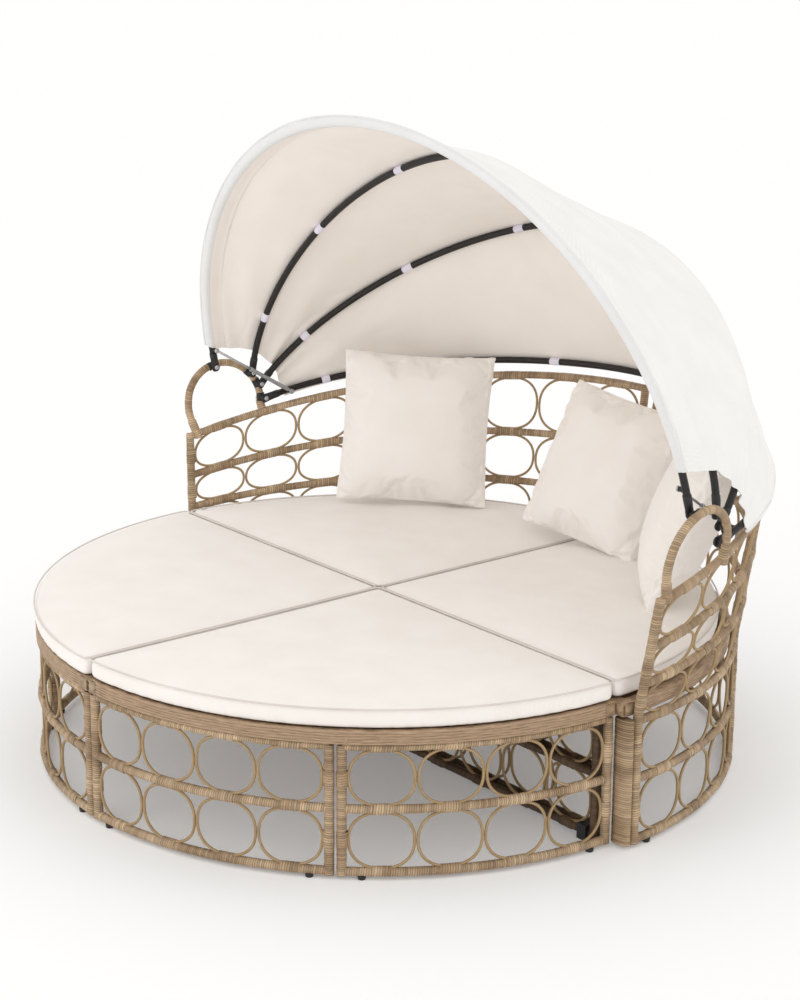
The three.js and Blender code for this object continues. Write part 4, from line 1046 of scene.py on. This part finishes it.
# The sleeve's faces under and behind the bow take the inside cloth, whose colour is painted glow of light through the
# cloth.
inside = np.linspace(-SLEEVE_BACK, HEM, SLEEVE_STEPS) < -9
glow_painted_faces = np.repeat(np.concatenate([inside, inside[::-1]]), STATIONS - 1)
index = np.zeros(len(sleeve_piece.data.polygons), np.int32)
index[:len(glow_painted_faces)] = glow_painted_faces
sleeve_piece.data.polygons.foreach_set("material_index", index)
close_up(sleeve_piece)
finish_piece(sleeve_piece, "front_bow")

front_edge = surface[0] - out[0] * THICK / 2
piece("canopy_front_piping", [sweep(front_edge, out[0], 2.6, 8)], [CANOPY_BAND], "front_bow")

STRAP_RADII = np.array([9.7, 10.6, 10.9, 11, 11, 11, 10.9, 10.6, 9.7])
STRAP_HALF = 15.0 / 850                             # half a strap's width, as an angle on the bow
for k in (1, 2, 3):
    middles = [math.radians(degrees) for degrees in (18, 43.5, 67.5, 90, 112.5, 136.5, 162)]
    paths = [bow_place(k, np.linspace(middle - STRAP_HALF, middle + STRAP_HALF, 9)) for middle in middles]
    piece(f"bow_straps_{k + 1}", [sweep(path, bow_plane(k), STRAP_RADII, 16) for path in paths], [STRAP], BOW_BODY[k])


# ---------------------------------------------------------------- cushions

def set_points(obj, co):
    """Moves a mesh's vertices to given places."""
    obj.data.vertices.foreach_set("co", co.astype(np.float32).ravel())
    obj.data.update()


SWELL = {"quality": 5, "mass": 0.3, "use_pressure": True, "tension_stiffness": 18, "compression_stiffness": 18,
         "shear_stiffness": 6, "bending_stiffness": 0.4}


def inflate(obj, voxel, pressure, cap, held, frames=20, shrink=0.0, settle=None):
    """Remeshes a closed piece evenly, lets air pressure fill its cloth for some frames, and caps how far it moves."""
    remesh = obj.modifiers.new("remesh", "REMESH")
    remesh.mode = "VOXEL"
    remesh.voxel_size = voxel
    apply_modifiers(obj)
    rest = mesh_points(obj.data)
    if settle:
        set_points(obj, settle(rest))
        rest = mesh_points(obj.data)
    swell = obj.modifiers.new("swell", "CLOTH")
    settings = swell.settings
    for key, value in SWELL.items():
        setattr(settings, key, value)
    settings.uniform_pressure_force = pressure
    settings.effector_weights.gravity = 0
    settings.shrink_min = shrink
    swell.collision_settings.use_collision = False
    swell.collision_settings.use_self_collision = False
    group = obj.vertex_groups.new(name="held")
    group.add(np.nonzero(held(rest))[0].tolist(), 1.0, "REPLACE")
    settings.vertex_group_mass = "held"
    swell.point_cache.frame_start = 1
    swell.point_cache.frame_end = frames
    scene = bpy.context.scene
    scene.frame_start, scene.frame_end = 1, frames
    for number in range(1, frames + 1):
        scene.frame_set(number)
    graph = bpy.context.evaluated_depsgraph_get()
    moved = mesh_points(obj.evaluated_get(graph).to_mesh()) - rest
    size = np.linalg.norm(moved, axis=1, keepdims=True)
    obj.evaluated_get(graph).to_mesh_clear()
    obj.modifiers.clear()
    set_points(obj, rest + moved * np.minimum(1, cap / np.maximum(size, 1e-9)))
    scene.frame_set(1)
    obj.modifiers.new("smooth", "SUBSURF").levels = 1
    apply_modifiers(obj)
    obj.data.polygons.foreach_set("use_smooth", np.ones(len(obj.data.polygons), bool))


def cushion_outline(radius, inset, count, edge=1.0, even_steps=900, rounding=30):
    """A quarter cushion's outline: three sides drawn in a little, with rounded corners."""
    reach = math.asin(edge / radius)
    end = radius * math.cos(reach)
    line = np.linspace(0, 1, 160)
    first = np.column_stack([edge + (end - edge) * line, edge + 0.8 * np.sin(np.pi * line)])
    open_angle = math.pi / 2 - 2 * reach
    angle = reach + open_angle * np.linspace(0, 1, 220)
    r = radius - 4 * np.sin(2 * (angle - reach) * math.pi / (2 * open_angle))
    arc = np.column_stack([r * np.cos(angle), r * np.sin(angle)])
    points = np.vstack([first[:-1], arc[:-1], first[::-1, ::-1][:-1]])
    points = np.column_stack([points, np.zeros(len(points))])
    closed = np.vstack([points, points[:1]])
    total = lengths(closed)[-1]
    even = along(closed, np.arange(even_steps) * total / even_steps)[:, :2]
    k = int(rounding / (total / even_steps))
    kernel = np.hanning(2 * k + 3)[1:-1]
    kernel /= kernel.sum()
    padded = np.vstack([even[-k:], even, even[:k]])
    round_off = np.stack([np.convolve(padded[:, c], kernel, "valid") for c in range(2)], 1)
    middle = np.array([radius * 0.46, radius * 0.46])
    run = np.roll(round_off, -1, 0) - np.roll(round_off, 1, 0)
    inward = np.column_stack([-run[:, 1], run[:, 0]])
    inward = inward / np.linalg.norm(inward, axis=1, keepdims=True)
    inward = np.where(np.sum(inward * (middle - round_off), 1, keepdims=True) > 0, inward, -inward)
    shifted = round_off + inward * inset
    pick = np.linspace(0, len(shifted), count, endpoint=False).astype(int)
    return shifted[pick], middle


FORM = 892.0                                        # the radius for which the seat cushions' common form is made
WALL_INSET, CROWN = 3.0, 11                         # its side wall stands inside the piping, and its top rises


def seat_cushion():
    """A closed slab: side wall between two piped edges, a crowned top and a flat underside, before inflation."""
    outline, middle = cushion_outline(FORM, WALL_INSET, 300)
    top, low = CUSHION_HIGH - 1, CUSHION_LOW + 1.5
    shares = [(TIP, low), (0.5, low), (0.9, low), (0.97, low), (1.0, low + 3), (1.0, top - 3), (0.985, top),
              (0.93, top + 3), (0.8, top + 7), (0.5, top + CROWN - 1), (TIP, top + CROWN)]
    rows = [np.column_stack([middle + (outline - middle) * share, np.full(len(outline), z)]) for share, z in shares]
    return grid(np.array(rows), False, True)


EDGE, CENTRE = cushion_outline(FORM, WALL_INSET, 900)


def crowned(points):
    """Lifts the top by the crown's height times 1 minus the fourth power of the share of the way to the edge."""
    spokes = EDGE - CENTRE
    angle, reach = np.arctan2(spokes[:, 1], spokes[:, 0]), np.linalg.norm(spokes, axis=1)
    mm = from_row(points)
    spoke = mm[:, :2] - CENTRE
    share = np.linalg.norm(spoke, axis=1) / np.interp(np.arctan2(spoke[:, 1], spoke[:, 0]), angle, reach, period=TURN)
    upper = (mm[:, 2] > CUSHION_HIGH - 2.5) & (share < 0.985)
    mm[:, 2] = np.where(upper, CUSHION_HIGH - 1 + CROWN * (1 - np.minimum(share, 1) ** 4), mm[:, 2])
    return to_row(mm)


def held_edges(points):
    """Whether vertices are at the upper piped edge or on the underside, where the swelling cloth is held."""
    mm = from_row(points)
    near = np.full(len(mm), 1e9)
    for start in range(0, len(EDGE), 90):
        gap = np.linalg.norm(mm[:, None, :2] - EDGE[None, start:start + 90], axis=2).min(1)
        near = np.minimum(near, gap)
    return (mm[:, 2] < CUSHION_LOW + 5) | (near < 7) & (mm[:, 2] > CUSHION_HIGH - 7)


def puffed(mm, seed):
    """Faint uneven fill on the top of a seat cushion."""
    upper = np.clip((mm[:, 2] - CUSHION_HIGH) / 8, 0, 1)
    lift = upper * (1.6 * ripple(mm, seed, 260) + 0.7 * ripple(mm, seed + 1, 90))
    return mm + lift[:, None] * UP


def copy_of(form, name, mirror):
    """A copy of a form, whose faces are turned over where it will be mirrored."""
    obj = add_object(name, form.data.copy())
    if mirror:
        obj.data.flip_normals()
    return obj


base = piece("cushion_form", [seat_cushion()], [CREAM])
outward_faces(base)
inflate(base, voxel=0.0098, pressure=2.2, cap=0.022, held=held_edges, settle=crowned)
# Each seat cushion's place and hand, its radius, the angle at which its quarter starts and its seed.
SEATS = [("front", "right", 901.0, -90, 19), ("front", "left", 907.0, -90, 19),
         ("back", "right", 898.0, 0, 18), ("back", "left", 898.0, 0, 18)]
for place, hand, radius, start, seed in SEATS:
    own = f"{place}_{hand}"
    body = body_for(place, hand)
    obj = copy_of(base, f"{own}_seat_cushion", hand == "left")
    mm = from_row(mesh_points(base.data))
    mm[:, :2] = 2.0 + (mm[:, :2] - 2.0) * (radius - 2.0) / (FORM - 2.0)
    mm[:, 2] = np.maximum(mm[:, 2], CUSHION_LOW)
    mm = turned_quarter(mm, start) * (1 if hand == "right" else -1, 1, 1)
    set_points(obj, to_row(puffed(mm, seed)))
    finish_piece(obj, body, [f"{own}_cushion"])
    outline, _ = cushion_outline(radius, 1.8, 450)
    path = np.column_stack([outline, np.full(len(outline), CUSHION_HIGH - 1.0)])
    verts, quads, corner = sweep(path, UP, 2.3, 8, closed=True)
    cord = (turned_quarter(verts, start), quads, corner)
    piece(f"{own}_cushion_piping", on_hand([cord], hand), [PIPING], body)
bpy.data.objects.remove(base)


PILLOW, PINCH = 440.0, 0.05                         # a pillow's side, and how far it is drawn in between corners


def pillow_grid(side, depth, steps=60):
    """A square pillow: two faces that meet at a rim, pinched in between its corners."""
    u = np.linspace(-1, 1, steps + 1)
    u, v = np.meshgrid(u, u, indexing="ij")
    x = side / 2 * u * (1 - PINCH * (1 - v * v) * np.abs(u))
    y = side / 2 * v * (1 - PINCH * (1 - u * u) * np.abs(v))
    rise = 3.0 + depth * ((1 - u * u) * (1 - v * v)) ** 0.42 / 2
    front, back = np.stack([x, y, rise], -1), np.stack([x, y, -rise], -1)
    return [grid(front), grid(back, flip=True), grid(np.stack([border(front), border(back)]), closed_v=True)]


def about(axis, degrees):
    """A turn about an axis."""
    return np.array(Matrix.Rotation(math.radians(degrees), 3, axis))


def pillow_held(points):
    """Whether vertices are on the sewn rim."""
    mm = from_row(points)
    return (np.abs(mm[:, 2]) < 5) & (np.abs(mm[:, :2]).max(1) > 190)


pillow = piece("pillow_form", pillow_grid(436, 132), [CREAM])
close_up(pillow, 0.0001)
inflate(pillow, voxel=0.007, pressure=4.0, cap=0.02, held=pillow_held, frames=18, shrink=-0.06)
# Each pillow's side, centre, yaw, tilt and roll, and the lowest and highest point of its CAD node.
PILLOWS = [(452, (-545.0, 570.0), 44, 16, -1.6, (434.5, 879.0)),
           (440, (94.0, 727.0), 3.5, 25.3, -5.0, (435.5, 843.0)),
           (440, (552.0, 577.0), -45, 22, -8, (435.2, 872.1))]
for number, (side, centre, yaw, tilt, roll, (low, high)) in enumerate(PILLOWS, 1):
    obj = copy_of(pillow, f"pillow_{number}", number == 2)
    mm = from_row(mesh_points(pillow.data)) * (side / PILLOW, side / PILLOW, 1) * (-1 if number == 2 else 1, 1, 1)
    lift = 3.0 * ripple(mm, 60 + number, 210) * np.clip(np.abs(mm[:, 2]) / 30, 0, 1)
    mm = (mm + lift[:, None] * UP) @ (about("Z", yaw) @ about("X", 90 - tilt) @ about("Z", roll)).T
    mm = mm + (*centre, (low + high) / 2 - (mm[:, 2].min() + mm[:, 2].max()) / 2)
    set_points(obj, to_row(mm))
    finish_piece(obj, "back_frame", [f"loose_cushion_{number}"])
bpy.data.objects.remove(pillow)


# ---------------------------------------------------------------- floor, light and camera

def seen_share(tree, share, plain, bright):
    """A mix of two shaders: the share of the bright one counts on rays from the camera and from glossy faces."""
    rays = node(tree, "LightPath")
    seen = maths(tree, "MAXIMUM", rays["Is Camera Ray"], rays["Is Glossy Ray"])
    return node(tree, "MixShader", {0: maths(tree, "MULTIPLY", seen, share), 1: plain, 2: bright})[0]


def backdrop(half=60):
    """A plain pale floor that runs on to the horizon."""
    mesh = bpy.data.meshes.new("floor")
    mesh.from_pydata([(-half, -half, 0), (half, -half, 0), (half, half, 0), (-half, half, 0)], [], [(0, 1, 2, 3)])
    floor = add_object("floor", mesh)
    material = bpy.data.materials.new("pale_floor")
    material.use_nodes = True
    tree = material.node_tree
    tree.nodes.clear()
    diffuse = node(tree, "BsdfDiffuse", {"Color": (0.96, 0.96, 0.96, 1)})[0]
    glow = node(tree, "Emission", {"Color": (1, 1, 1, 1), "Strength": 1.1})[0]
    node(tree, "OutputMaterial", {"Surface": seen_share(tree, 0.16, diffuse, glow)})
    mesh.materials.append(material)


def studio():
    """Even light from all round, and pure white where the camera sees past the floor."""
    world = bpy.data.worlds.new("studio")
    bpy.context.scene.world = world
    world.use_nodes = True
    tree = world.node_tree
    tree.nodes.clear()
    white = node(tree, "Background", {"Color": (1, 1, 1, 1), "Strength": 1.0})[0]
    soft = node(tree, "Background", {"Color": (1, 0.995, 0.985, 1), "Strength": 1.02})[0]
    node(tree, "OutputWorld", {"Surface": seen_share(tree, 1.0, soft, white)})


def stand(obj, right, up, back, place):
    """Places an object by its own three axes."""
    matrix = np.eye(4)
    matrix[:3] = np.column_stack([right, up, back, place])
    obj.matrix_world = Matrix(matrix.tolist())


def lamp(name, place, aim, size, power):
    """A square area lamp that faces a place."""
    data = bpy.data.lights.new(name, "AREA")
    data.size = size
    data.energy = power
    back = unit(np.subtract(place, aim))
    right = unit(np.cross(UP, back))
    stand(add_object(name, data), right, np.cross(back, right), back, place)


backdrop()
studio()
lamp("key", (-0.8, -5.2, 2.3), (0, 0.3, 0.9), 3.2, 27)
lamp("fill", (5.4, -1.4, 2.6), (0, 0, 0.7), 3.2, 7)

# The camera that was fitted to the photo: its angles in radians, its place in the row frame and its lens.
azimuth, elevation, roll = 0.8867, 0.2802, 0.0074
level_back = np.array([math.sin(azimuth), -math.cos(azimuth), 0])
right = np.array([math.cos(azimuth), math.sin(azimuth), 0])
back = level_back * math.cos(elevation) + UP * math.sin(elevation)
up = np.cross(back, right)
lens = bpy.data.cameras.new("camera")
lens.lens = 82.67
lens.sensor_width = 36
camera = add_object("camera", lens)
stand(camera, right * math.cos(roll) + up * math.sin(roll), up * math.cos(roll) - right * math.sin(roll), back,
      (4.5088, -3.6623, 2.3232))
bpy.context.scene.camera = camera
bpy.context.scene.view_settings.view_transform = "Standard"
